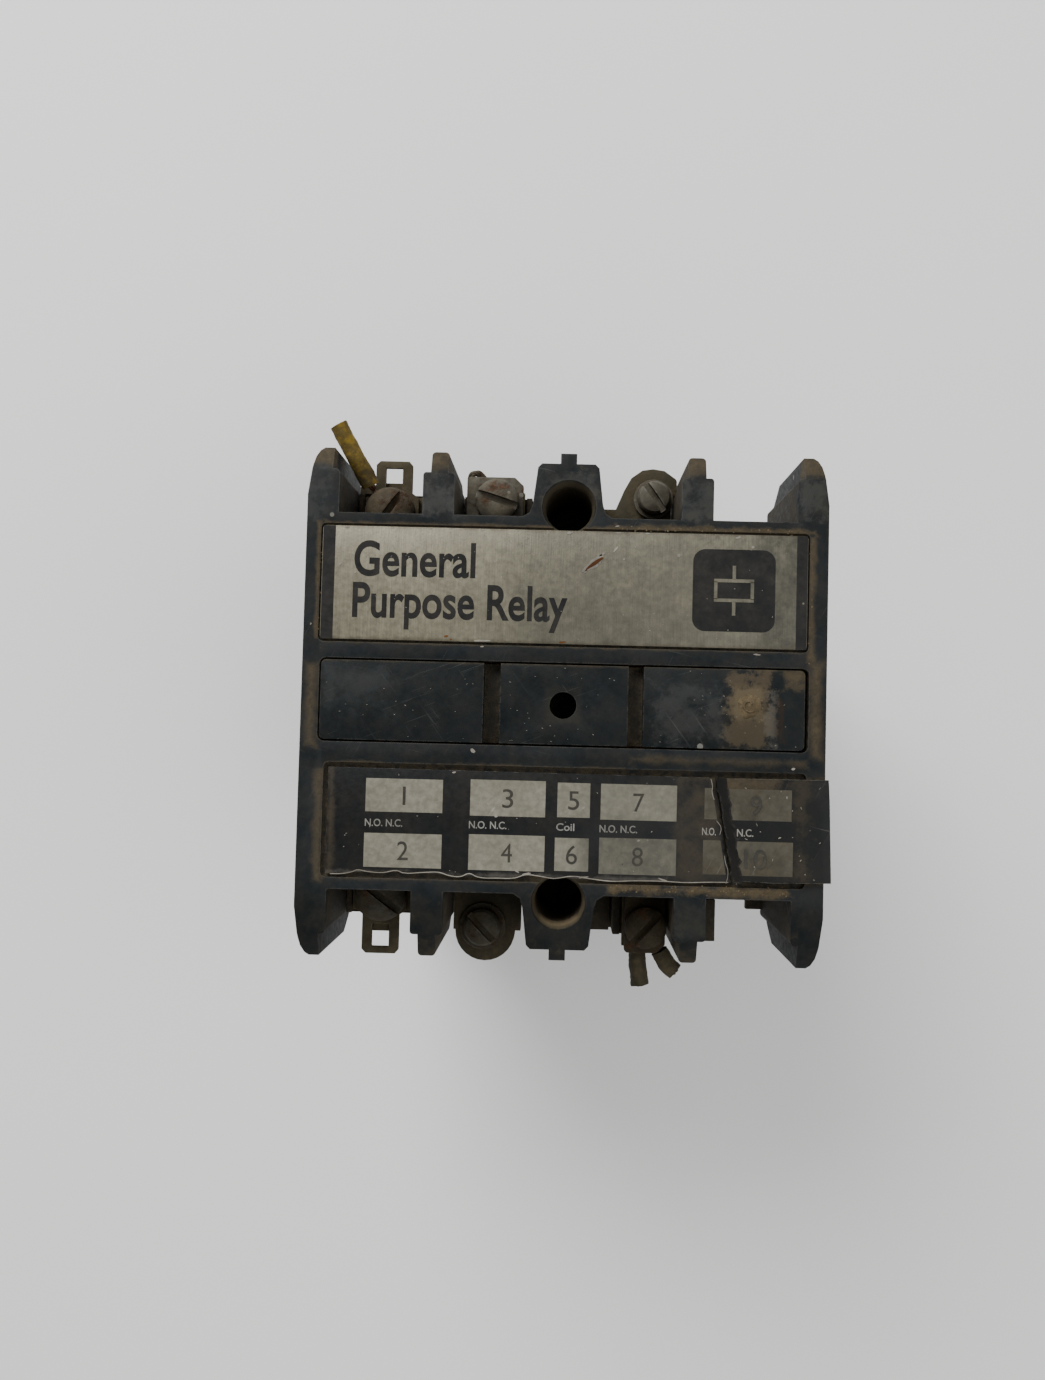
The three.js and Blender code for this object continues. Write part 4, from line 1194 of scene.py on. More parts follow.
@dataclass
class Nameplate:
    """The brushed plate with its end strips, words and badge."""

    top: float = 76.15
    print_thick: float = 0.03
    strip_y: tuple[float, float] = (9.75, 27.95)
    badge_centre: tuple[float, float] = (26.9, 18.95)
    badge_half: float = 6.6
    badge_line: float = 0.45

    def build(self) -> list[bpy.types.Object]:
        """Builds the plate and what is printed on it.

        Returns:
            The finished pieces.
        """
        plate = carried_over("nameplate", Look.PLATE, "frame", "nameplate", 0.08)
        return [
            plate, self.strips(), self.words(), self.badge(), self.symbol(), self.marks(), self.rust_marks()
        ]

    def strips(self) -> bpy.types.Object:
        """The black strips at both ends.

        Returns:
            The finished piece.
        """
        bm = bmesh.new()
        for x0, x1 in ((-39.2, -37.25), (36.9, 38.6)):
            add_block(
                bm, (x0, self.strip_y[0], self.top - 0.02), (x1, self.strip_y[1], self.top + self.print_thick)
            )
        return publish("nameplate_strips", bm, Look.INK, "frame")

    def words(self) -> bpy.types.Object:
        """The two lines that say what the relay is for.

        Returns:
            The finished piece.
        """
        bm = letters("General", -34.1, 20.1, self.top - 0.005, 5.5, 19.5, 0.02, self.print_thick)
        join_into(
            bm, letters("Purpose Relay", -34.2, 13.4, self.top - 0.005, 5.5, 34.5, 0.02, self.print_thick)
        )
        return publish("nameplate_words", bm, Look.INK, "frame")

    def badge(self) -> bpy.types.Object:
        """A dark square with rounded corners.

        Returns:
            The finished piece.
        """
        bm = bmesh.new()
        self.frame_of(bm, self.badge_half, 2.0, 0.0, self.print_thick)
        return publish("nameplate_badge", bm, Look.INK, "frame")

    def frame_of(self, bm: bmesh.types.BMesh, half: float, corner: float, line: float, height: float) -> None:
        """Adds a rounded square round the badge's centre, hollow if line is given.

        Args:
            bm: the mesh.
            half: half its side.
            corner: its corners' radius.
            line: the width of the line it is drawn with, or 0 for a full square.
            height: its thickness.
        """
        x, y = self.badge_centre
        face = bm.faces.new(
            [
                bm.verts.new((x + half * u, y + half * v, self.top - 0.01)) for u,
                v in ((-1, -1), (1, -1), (1, 1), (-1, 1))
            ]
        )
        bmesh.ops.bevel(
            bm, geom=list(face.verts), offset=corner, segments=8, profile=0.5, affect="VERTICES", material=-1
        )
        flat = [f for f in bm.faces if all(abs(v.co.z - self.top + 0.01) < 1e-6 for v in f.verts)]
        if line:
            bmesh.ops.inset_region(bm, faces=flat, thickness=line, use_even_offset=True)
            bmesh.ops.delete(bm, geom=flat, context="FACES_ONLY")
            flat = [f for f in bm.faces if all(abs(v.co.z - self.top + 0.01) < 1e-6 for v in f.verts)]
        raised = bmesh.ops.extrude_face_region(bm, geom=flat)["geom"]
        verts = [g for g in raised if isinstance(g, bmesh.types.BMVert)]
        bmesh.ops.translate(bm, vec=(0, 0, height), verts=verts)
        bmesh.ops.recalc_face_normals(bm, faces=bm.faces)

    def symbol(self) -> bpy.types.Object:
        """The outline and the sign for a relay coil, in bare metal.

        Returns:
            The finished piece.
        """
        bm = bmesh.new()
        self.frame_of(bm, self.badge_half - 0.75, 1.5, self.badge_line, self.print_thick + 0.02)
        x, y = self.badge_centre
        z0, z1 = self.top - 0.01, self.top + self.print_thick + 0.03
        for u0, u1, v0, v1 in (
            (-3.2, 3.2, 1.3, 1.85), (-3.2, 3.2, -1.85, -1.3), (-3.2, -2.65, -1.4, 1.4),
            (2.65, 3.2, -1.4, 1.4),
            (-0.27, 0.27, 1.8, 4.0), (-0.27, 0.27, -4.0, -1.8),
        ):
            add_block(bm, (x + u0, y + v0, z0), (x + u1, y + v1, z1))
        return publish("nameplate_symbol", bm, Look.PLATE, "frame")

    def marks(self) -> bpy.types.Object:
        """Pale flakes, and the burr of a gouge, on the plate.

        Returns:
            The finished piece.
        """
        bm = bmesh.new()
        dice = random.Random(5)
        z = self.top - 0.01
        for x, y, long, wide, turn in (
            (4.4, 22.9, 5.4, 1.7, 0.66), (5.6, 24.2, 1.4, 0.4, 0.5), (7.9, 25.2, 1.5, 0.45, 0.9),
            (9.2, 23.6, 0.5, 0.3, 0.0),
            (3.1, 21.4, 1.0, 0.4, 0.9), (-35.4, 27.7, 0.9, 0.4, 0.1), (-13.6, 27.8, 0.5, 0.3, 0.4),
            (0.3, 27.6, 1.2, 0.6, 0.2),
            (8.2, 27.8, 1.6, 0.25, 0.0), (12.9, 27.8, 1.0, 0.25, 0.1), (27.4, 27.5, 1.3, 0.4, 0.2),
            (-22.0, 27.8, 0.6, 0.2, 0.0),
            (18.0, 24.4, 0.8, 0.7, 0.4), (17.0, 25.3, 0.4, 0.3, 0.0), (-36.4, 21.8, 0.8, 0.5, 0.8),
            (29.8, 26.0, 0.7, 0.5, 0.3),
            (-13.2, 9.95, 4.4, 0.35, 0.03), (-33.9, 20.4, 0.6, 0.35, 0.6),
        ):
            add_flake(bm, dice, x, y, z, long, wide, turn)
        for _ in range(70):
            x, y = dice.uniform(-36.0, 36.0), dice.uniform(10.5, 27.3)
            add_flake(
                bm, dice, x, y, z, dice.uniform(0.12, 0.42), dice.uniform(0.08, 0.2), dice.uniform(0, 3)
            )
        return publish("nameplate_flakes", bm, Look.CHIP, "frame")

    def rust_marks(self) -> bpy.types.Object:
        """The dark line of the gouge and orange flecks on the lower edge.

        Returns:
            The finished piece.
        """
        bm = bmesh.new()
        dice = random.Random(6)
        z = self.top - 0.01
        for x, y, long, wide, turn in (
            (4.5, 22.8, 4.2, 0.7, 0.66), (-19.0, 10.5, 0.9, 0.4, 0.2), (-0.4, 10.0, 1.3, 0.35, 0.1),
            (-18.2, 10.0, 0.5, 0.3, 0.1),
        ):
            add_flake(bm, dice, x, y, z + 0.03, long, wide, turn)
        return publish("nameplate_rust", bm, Look.RUST_CHIP, "frame")


@dataclass
class RatingLabel:
    """The printed film below the carrier, cracked near its right end, and the torn end that stands up."""

    film_top: float = 76.0
    torn_top: float = 76.7
    ink: float = 0.025
    crack_top: tuple[float, float] = (24.5, -11.0)
    crack_foot: tuple[float, float] = (27.4, -27.5)
    boxes: tuple[tuple[str, float, float, float, float], ...] = (
        ("1", -31.1, -18.8, -17.75, -12.45), ("3", -14.4, -2.4, -18.0, -12.25),
        ("5", -0.5, 4.7, -17.9, -12.4),
        ("7", 6.4, 18.5, -18.1, -12.4), ("9", 22.9, 36.6, -17.6, -12.65),
        ("2", -31.15, -18.75, -26.55, -21.15), ("4", -14.45, -2.35, -26.6, -20.95),
        ("6", -0.75, 4.65, -26.4, -21.15),
        ("8", 6.3, 18.55, -26.7, -20.95), ("10", 22.8, 36.9, -26.3, -20.9),
    )
    small_words: tuple[tuple[str, float, float, float], ...] = (
        ("N.O. N.C.", -31.1, -20.05, 6.0), ("N.O. N.C.", -14.5, -20.0, 6.0), ("Coil", -0.6, -20.0, 2.9),
        ("N.O. N.C.", 6.3, -20.1, 6.0),
    )
    foot: tuple[tuple[float, float], ...] = (
        (-36.4, -27.8), (-34.3, -27.7), (-32.9, -27.4), (-32.1, -27.1), (-30.5, -27.3), (-28.0, -27.4),
        (-25.7, -27.05),
        (-24.8, -27.35), (-21.3, -27.2), (-19.0, -27.15), (-17.4, -27.6), (-15.6, -27.7), (-14.2, -27.2),
        (-12.9, -27.7),
        (-9.5, -27.8), (-7.0, -27.7), (-5.2, -27.15), (-3.2, -27.3), (-0.8, -27.6), (2.2, -27.2),
        (4.9, -27.5),
        (8.2, -27.8), (12.0, -27.65), (16.6, -27.6), (20.0, -27.7), (24.0, -27.55), (26.9, -27.5),
    )
    digit_cap: float = 3.0

    def build(self) -> list[bpy.types.Object]:
        """Builds both parts of the film and what is printed on them.

        Returns:
            The finished pieces.
        """
        film = carried_over("rating_label", Look.FILM, "frame", "label", 0.06)
        torn = self.torn_end()
        return [film, torn, *self.silver(), *self.print(), self.peeled_edge(), self.crack(), self.chips()]

    def crack_x(self, y: float) -> float:
        """Where the crack is at a height on the label."""
        (x0, y0), (x1, y1) = self.crack_top, self.crack_foot
        return x0 + (x1 - x0) * (y - y0) / (y1 - y0)

    def torn_end(self) -> bpy.types.Object:
        """The torn end, buckled a little.

        Returns:
            The finished piece.
        """
        bm = from_node("rating_label_torn_end", 0.05)
        bmesh.ops.subdivide_edges(
            bm, edges=[e for e in bm.edges if e.calc_length() > 1.5], cuts=5, use_grid_fill=True
        )
        bmesh.ops.triangulate(bm, faces=bm.faces)
        for vert in bm.verts:
            vert.co.z += 0.07 * noise.noise(Vector((vert.co.x, vert.co.y, 0.0)) * 0.35)
        return publish(
            "rating_label_torn_end_shape", bm, Look.TORN_FILM, "frame", ["rating_label_torn_end"]
        )

    def silver(self) -> list[bpy.types.Object]:
        """The silver boxes behind the numbers.

        Returns:
            The finished pieces.
        """
        near, dull, far = bmesh.new(), bmesh.new(), bmesh.new()
        z, high = self.film_top - 0.01, self.torn_top - 0.12
        for word, x0, x1, y0, y1 in self.boxes:
            if word not in ("9", "10"):
                add_outline(near, ((x0, y0), (x1, y0), (x1, y1), (x0, y1)), z, z + self.ink)
                continue
            a, b = self.crack_x(y0), self.crack_x(y1)
            add_outline(dull, ((x0, y0), (a - 0.7, y0), (b - 0.7, y1), (x0, y1)), z, z + self.ink)
            add_outline(far, ((a + 1.5, y0), (x1, y0), (x1, y1), (b + 1.5, y1)), high, high + 0.15)
        return [
            publish("label_boxes", near, Look.SILVER, "frame"),
            publish("label_boxes_edge", dull, Look.DULL_SILVER, "frame"),
            publish("label_boxes_torn", far, Look.DULL_SILVER, "frame"),
        ]

    def print(self) -> list[bpy.types.Object]:
        """The terminal numbers and the small words between the rows.

        Returns:
            The finished pieces.
        """
        digits, small = bmesh.new(), bmesh.new()
        for word, x0, x1, y0, y1 in self.boxes:
            torn = word in ("9", "10")
            z = self.torn_top + 0.1 if torn else self.film_top + self.ink - 0.012
            width = 1.75 * len(word) if word != "1" else 0.45
            middle = 31.0 if torn else (x0 + x1) / 2
            y = (y0 + y1 - self.digit_cap) / 2
            join_into(digits, letters(word, middle - width / 2, y, z, self.digit_cap, width, 0.0, 0.02))
        for word, x, y, width in self.small_words:
            join_into(small, letters(word, x, y, self.film_top - 0.01, 1.15, width, 0.015, self.ink))
        join_into(small, letters("N.O.", 22.6, -20.1, self.film_top - 0.01, 1.15, 2.2, 0.015, self.ink))
        join_into(small, letters("N.C.", 28.0, -20.1, self.torn_top + 0.08, 1.15, 2.6, 0.015, self.ink))
        return [
            publish("label_numbers", digits, Look.DIGIT, "frame"),
            publish("label_small_words", small, Look.WHITE_INK, "frame"),
        ]

    def peeled_edge(self) -> bpy.types.Object:
        """The pale curled edges of the film, along its foot and the crack.

        Returns:
            The finished piece.
        """
        bm = tube([(x, y, self.film_top + 0.02) for x, y in self.foot], 0.085, 2, 4)
        for offset, top in ((-0.55, self.film_top + 0.02), (1.0, self.torn_top - 0.02)):
            side = []
            for i in range(16):
                y = self.crack_top[1] - 0.2 + (self.crack_foot[1] - self.crack_top[1]) * i / 15
                wobble = 0.7 * noise.noise(Vector((0.6 * y, offset, 0.0)))
                side.append((self.crack_x(y) + offset + wobble, y, top))
            for run in (side[:4], side[6:9], side[11:]):
                join_into(bm, tube(run, 0.05, 2, 3))
        return publish("label_peeled_edges", bm, Look.CHIP, "frame")

    def crack(self) -> bpy.types.Object:
        """The dark, ragged crease along the crack.

        Returns:
            The finished piece.
        """
        bm = bmesh.new()
        left, right = [], []
        for i in range(25):
            y = self.crack_top[1] + (self.crack_foot[1] - self.crack_top[1]) * i / 24
            x = self.crack_x(y)
            left.append((x + 0.1 + 0.7 * noise.noise(Vector((0.9 * y, 3.0, 0.0))), y))
            right.append((x + 1.7 + 0.8 * noise.noise(Vector((1.1 * y, 8.0, 0.0))), y))
        add_outline(bm, left + right[::-1], self.torn_top + 0.06, self.torn_top + 0.075)
        return publish("label_crack", bm, Look.CREASE, "frame")

    def chips(self) -> bpy.types.Object:
        """Pale chips where the print has flaked.

        Returns:
            The finished piece.
        """
        bm = bmesh.new()
        dice = random.Random(12)
        z = self.film_top - 0.01
        for x, y, long, wide, turn in (
            (-10.9, -17.2, 1.9, 0.4, 0.9), (-11.6, -16.1, 0.9, 0.3, 2.2), (-10.2, -18.0, 0.7, 0.5, 0.2),
            (3.7, -16.3, 0.8, 0.4, 0.9),
            (11.8, -16.8, 0.8, 0.3, 0.2), (12.5, -21.3, 0.6, 0.4, 0.5), (-17.1, -11.2, 0.8, 0.4, 0.1),
            (-7.6, -26.2, 0.8, 0.5, 1.6),
            (-5.2, -27.0, 2.2, 0.4, 0.2), (-6.6, -26.7, 1.1, 0.3, -0.4), (3.9, -27.3, 2.0, 0.4, 0.1),
            (16.4, -27.3, 2.2, 0.3, -0.3),
        ):
            add_flake(bm, dice, x, y, z, long, wide, turn)
        for _ in range(34):
            x, y = dice.uniform(-36.0, 23.0), dice.uniform(-27.0, -11.4)
            add_flake(
                bm, dice, x, y, z + 0.02, dice.uniform(0.1, 0.4), dice.uniform(0.08, 0.2), dice.uniform(0, 3)
            )
        for _ in range(22):
            x, y = dice.uniform(28.9, 42.0), dice.uniform(-26.8, -11.8)
            high = self.torn_top + 0.03
            add_flake(
                bm, dice, x, y, high, dice.uniform(0.15, 0.7), dice.uniform(0.08, 0.25), dice.uniform(0, 3)
            )
        return publish("label_chips", bm, Look.CHIP, "frame")


@dataclass
class ContactCarrier:
    """The sliding bar with its three bridges and their springs."""

    poles: tuple[float, ...] = (-30.2, -11.9, 11.9)
    mud_centre: tuple[float, float] = (29.7, 0.6)
    spring_foot: float = 66.3
    spring_top: float = 72.2
    spring_r: float = 2.05
    wire_r: float = 0.3
    turns: int = 4
    keep: float = 0.83
    tip_y: float = 11.5
    tip_z: float = 63.1

    def build(self) -> list[bpy.types.Object]:
        """Builds the carrier, the mud on it, and the moving contacts.

        Returns:
            The finished pieces.
        """
        made = [
            carried_over("contact_carrier", Look.CARRIER, "carrier", "carrier", 0.25),
            self.mud(),
            self.scuffs(),
        ]
        for number, x in enumerate(self.poles, 1):
            made += self.bridge(number, x)
        return made

    def mud(self) -> bpy.types.Object:
        """A dried splash with a curl in it.

        Returns:
            The finished piece.
        """
        bm = bmesh.new()
        dice = random.Random(21)
        x, y = self.mud_centre
        blob = add_lathe(
            bm, ((0.0, 75.95), (1.9, 75.95), (1.75, 76.08), (1.2, 76.14), (0.0, 76.12)), x, y, 40
        )
        for vert in blob:
            vert.co += Vector((0.5, 0.5, 0.06)) * noise.noise(vert.co * 0.9)
        curl = [
            (x + r * math.cos(a), y + 0.1 + r * math.sin(a), 76.15)
            for a, r in ((0.4 + 0.5 * i, 0.35 + 0.085 * i) for i in range(11))
        ]
        ridge = tube(curl, 0.16, 3, 6)
        roughen(ridge, 0.08, 1.7)
        join_into(bm, ridge)
        for _ in range(42):
            px, py = x + dice.gauss(0.6, 2.0), y + dice.gauss(-0.8, 2.6)
            if abs(py) < 6.0 and 21.0 < px < 38.0:
                FrontHousing.crumb(bm, dice, px, py, 75.97, dice.uniform(0.06, 0.2))
        return publish("carrier_mud", bm, Look.MUD, "carrier", sharp=60.0)

    @staticmethod
    def scuffs() -> bpy.types.Object:
        """Small pale chips on the carrier's face and edges.

        Returns:
            The finished piece.
        """
        bm = bmesh.new()
        dice = random.Random(23)
        for _ in range(70):
            x = dice.choice((dice.uniform(-38, -14), dice.uniform(14, 37.5), dice.uniform(-9.5, 9.5)))
            y = dice.uniform(-6.0, 6.0)
            if abs(x) > 2.6 or abs(y) > 2.6:
                add_flake(
                    bm, dice, x, y, 75.985,
                    dice.uniform(0.1, 0.45), dice.uniform(0.05, 0.13), dice.uniform(-0.6, 0.9), 0.03,
                )
        return publish("carrier_scuffs", bm, Look.CHIP, "carrier")

    def bridge(self, number: int, x: float) -> list[bpy.types.Object]:
        """Builds one moving contact with its seat, tips and spring.

        Args:
            number: its pole.
            x: the pole's X.

        Returns:
            Its pieces.
        """
        body = f"bridge_{number}"
        blade = carried_over(f"contact_bridge_{number}", Look.COPPER, body, "copper", 0.15)
        seat = carried_over(f"spring_seat_{number}", Look.DARK_BLOCK, body, "dark_phenolic", 0.12)
        tips = bmesh.new()
        z = self.tip_z
        for side in (-1, 1):
            profile = (
                (0.0, z - 0.02), (1.5, z - 0.0), (2.1, z + 0.18), (2.28, z + 0.5), (2.28, z + 0.79),
                (0.0, z + 0.79)
            )
            add_lathe(tips, profile, x, side * self.tip_y, 32)
        points = []
        low, high = self.spring_foot + self.wire_r, self.spring_top - self.wire_r
        for i in range(self.turns * 12 + 1):
            share = i / (self.turns * 12)
            eased = share + 0.35 * math.sin(math.tau * share) / math.tau
            a = math.tau * self.turns * share
            points.append(
                (
                    x + self.spring_r * math.cos(a), self.spring_r * math.sin(a),
                    low + (high - low) * (2 * share - eased)
                )
            )
        name = f"contact_spring_{number}"
        coil = publish(
            name + "_wire", tube(points, self.wire_r, 3, 3), Look.SPRING, "carrier", [name]
        )
        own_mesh(coil)
        return [blade, seat, publish(f"moving_tips_{number}", tips, Look.CONTACT, body), coil]


class Head(Enum):
    """The shapes of screw head."""

    DOMED = "domed"
    BINDING = "binding"
    FILLISTER = "fillister"


@dataclass
class Screw:
    """A slotted screw whose head stands on head_z."""

    name: str
    x: float
    y: float
    radius: float
    head_z: float
    head_h: float
    shank_r: float
    tip_z: float
    angle: float
    body: str
    head: Head = Head.BINDING
    look: Look = Look.STEEL
    slot_w: float = 1.2
    slot_depth: float = 1.15
    pitch: float = 0.794
    thread_depth: float = 0.28

    def build(self) -> bpy.types.Object:
        """Builds the screw with its thread and slot.

        Returns:
            The finished piece.
        """
        top, r = self.head_z + self.head_h, self.radius
        crown = {
            Head.DOMED: (
                (r, top - 1.75), (r * 0.96, top - 1.35), (r * 0.84, top - 0.75), (r * 0.6, top - 0.25)
            ),
            Head.BINDING: (
                (r, top - 1.15), (r * 0.985, top - 0.9), (r * 0.86, top - 0.45), (r * 0.55, top - 0.12)
            ),
            Head.FILLISTER: (
                (r, top - 0.6), (r * 0.97, top - 0.35), (r * 0.85, top - 0.14), (r * 0.6, top - 0.03)
            ),
        }[self.head]
        profile = [
            (0.0, self.tip_z), (self.shank_r * 0.7, self.tip_z), (self.shank_r - 0.05, self.tip_z + 0.5)
        ]
        z = self.tip_z + 0.6
        while z < self.head_z - 1.2 * self.pitch:
            profile += [(self.shank_r - 0.02, z), (self.shank_r - self.thread_depth, z + self.pitch / 2)]
            z += self.pitch
        profile += [
            (self.shank_r - 0.02, self.head_z - 0.3), (self.shank_r, self.head_z), (r - 0.25, self.head_z),
            (r, self.head_z + 0.2), *crown, (r * 0.25, top), (0.0, top + 0.02),
        ]
        bm = bmesh.new()
        add_lathe(bm, profile, self.x, self.y, 56)
        tool = bmesh.new()
        low = (self.x - r - 1, self.y - self.slot_w / 2, top - self.slot_depth)
        high = (self.x + r + 1, self.y + self.slot_w / 2, top + 1)
        add_block(tool, low, high, 0.0, self.angle)
        bm = cut_with(bm, tool)
        burr = [e for e in bm.edges if e.is_manifold and e.calc_face_angle(0.0) > math.radians(55)
                and all(v.co.z > top - self.slot_depth - 0.05 for v in e.verts)]
        bmesh.ops.bevel(
            bm, geom=burr, offset=0.09, segments=2, profile=0.5, affect="EDGES", clamp_overlap=True,
            material=-1
        )
        return publish(self.name + "_shape", bm, self.look, self.body, [self.name], 30.0)


@dataclass
class Terminals:
    """The six cartridges with their straps, clamps and screws, and the two coil screws."""

    strap_top: float = 59.0
    tip_r: float = 2.28
    tip_y: float = 11.5
    poles: dict[str, float] = field(
        default_factory=lambda: {"1": -30.2, "2": -30.2, "3": -11.9, "4": -11.9, "7": 11.9, "8": 11.9}
    )

    def build(self) -> list[bpy.types.Object]:
        """Builds every terminal.

        Returns:
            The finished pieces.
        """
        made = []
        for number, x in self.poles.items():
            made.append(carried_over(f"cartridge_{number}", Look.DARK_BLOCK, "frame", "dark_phenolic", 0.2))
            made.append(carried_over(f"contact_strap_{number}", Look.BRASS, "frame", "brass", 0.12))
            made.append(self.fixed_tip(number, x))
        made += [screw.build() for screw in self.screws()]
        for node, look, body, slot in (
            ("tab_1", Look.BRASS, "frame", "brass"),
            ("tab_2", Look.BRASS, "frame", "brass"),
            ("terminal_washer_1", Look.RUSTY_STEEL, "clamp_1", "steel"),
            ("terminal_washer_2", Look.SHADED_GRIMY_STEEL, "clamp_2", "steel"),
            ("clamp_plate_3", Look.PALE_CLAMP, "clamp_3", "steel"),
            ("clamp_plate_8", Look.SHADED_DARK_RUST, "clamp_8", "steel"),
            ("coil_washer_5", Look.STEEL, "clamp_5", "steel"),
            ("coil_washer_6", Look.SHADED_GRIMY_STEEL, "clamp_6", "steel"),
        ):
            made.append(carried_over(node, look, body, slot, 0.12))
        return made

    def fixed_tip(self, number: str, x: float) -> bpy.types.Object:
        """Builds the silver tip of a fixed contact.

        Args:
            number: the terminal's number.
            x: the tip's X.

        Returns:
            The finished piece.
        """
        side = 1 if int(number) % 2 else -1
        z = self.strap_top
        bm = bmesh.new()
        r = self.tip_r
        profile = (
            (0.0, z + 0.01), (r, z + 0.01), (r, z + 0.5), (r * 0.92, z + 0.72), (r * 0.6, z + 0.81),
            (0.0, z + 0.83)
        )
        add_lathe(bm, profile, x, side * self.tip_y, 32)
        return publish(f"fixed_tip_{number}", bm, Look.CONTACT, "frame")

    @staticmethod
    def screws() -> list[Screw]:
        """Returns the terminal, coil and assembly screws.

        Returns:
            The screws, not yet built.
        """
        big = {"shank_r": 2.0, "tip_z": 55.2}
        small = {"head_z": 62.1, "head_h": 2.2, "shank_r": 1.7, "tip_z": 55.4, "slot_w": 1.1}
        long = {"radius": 3.4, "head_z": 55.3, "head_h": 2.8, "shank_r": 2.0, "tip_z": 0.4, "body": "frame"}
        return [
            Screw("terminal_screw_1", -30.1, 32.0, 4.25, 66.6, 3.0, angle=0.97, body="screw_1",
                  head=Head.DOMED, look=Look.RUSTY_STEEL, **big),
            Screw("terminal_screw_2", -29.8, -32.6, 4.25, 65.2, 2.6, angle=-0.64, body="screw_2",
                  look=Look.SHADED_GRIMY_STEEL, **big),
            Screw("terminal_screw_3", -12.0, 34.3, 3.6, 67.3, 2.6, angle=-0.3, body="screw_3",
                  look=Look.PALE_CLAMP, **big),
            Screw("terminal_screw_8", 14.6, -36.4, 3.45, 67.3, 2.6, angle=0.85, body="screw_8",
                  look=Look.SHADED_DARK_RUST, **big),
            Screw("coil_screw_5", 14.9, 36.6, 2.9, angle=-0.95, body="screw_5", **small),
            Screw(
                "coil_screw_6", -12.9, -38.1, 3.15, angle=-0.8, body="screw_6", look=Look.SHADED_GRIMY_STEEL, **small
            ),
            Screw(
                "assembly_screw_top", 0.2, 31.9, angle=0.4, head=Head.FILLISTER, look=Look.SHADED_DARK_RUST, **long
            ),
            Screw(
                "assembly_screw_bottom", 0.05, -31.4, angle=1.4, head=Head.FILLISTER, look=Look.SHADED_DARK_RUST,
                **long
            ),
        ]


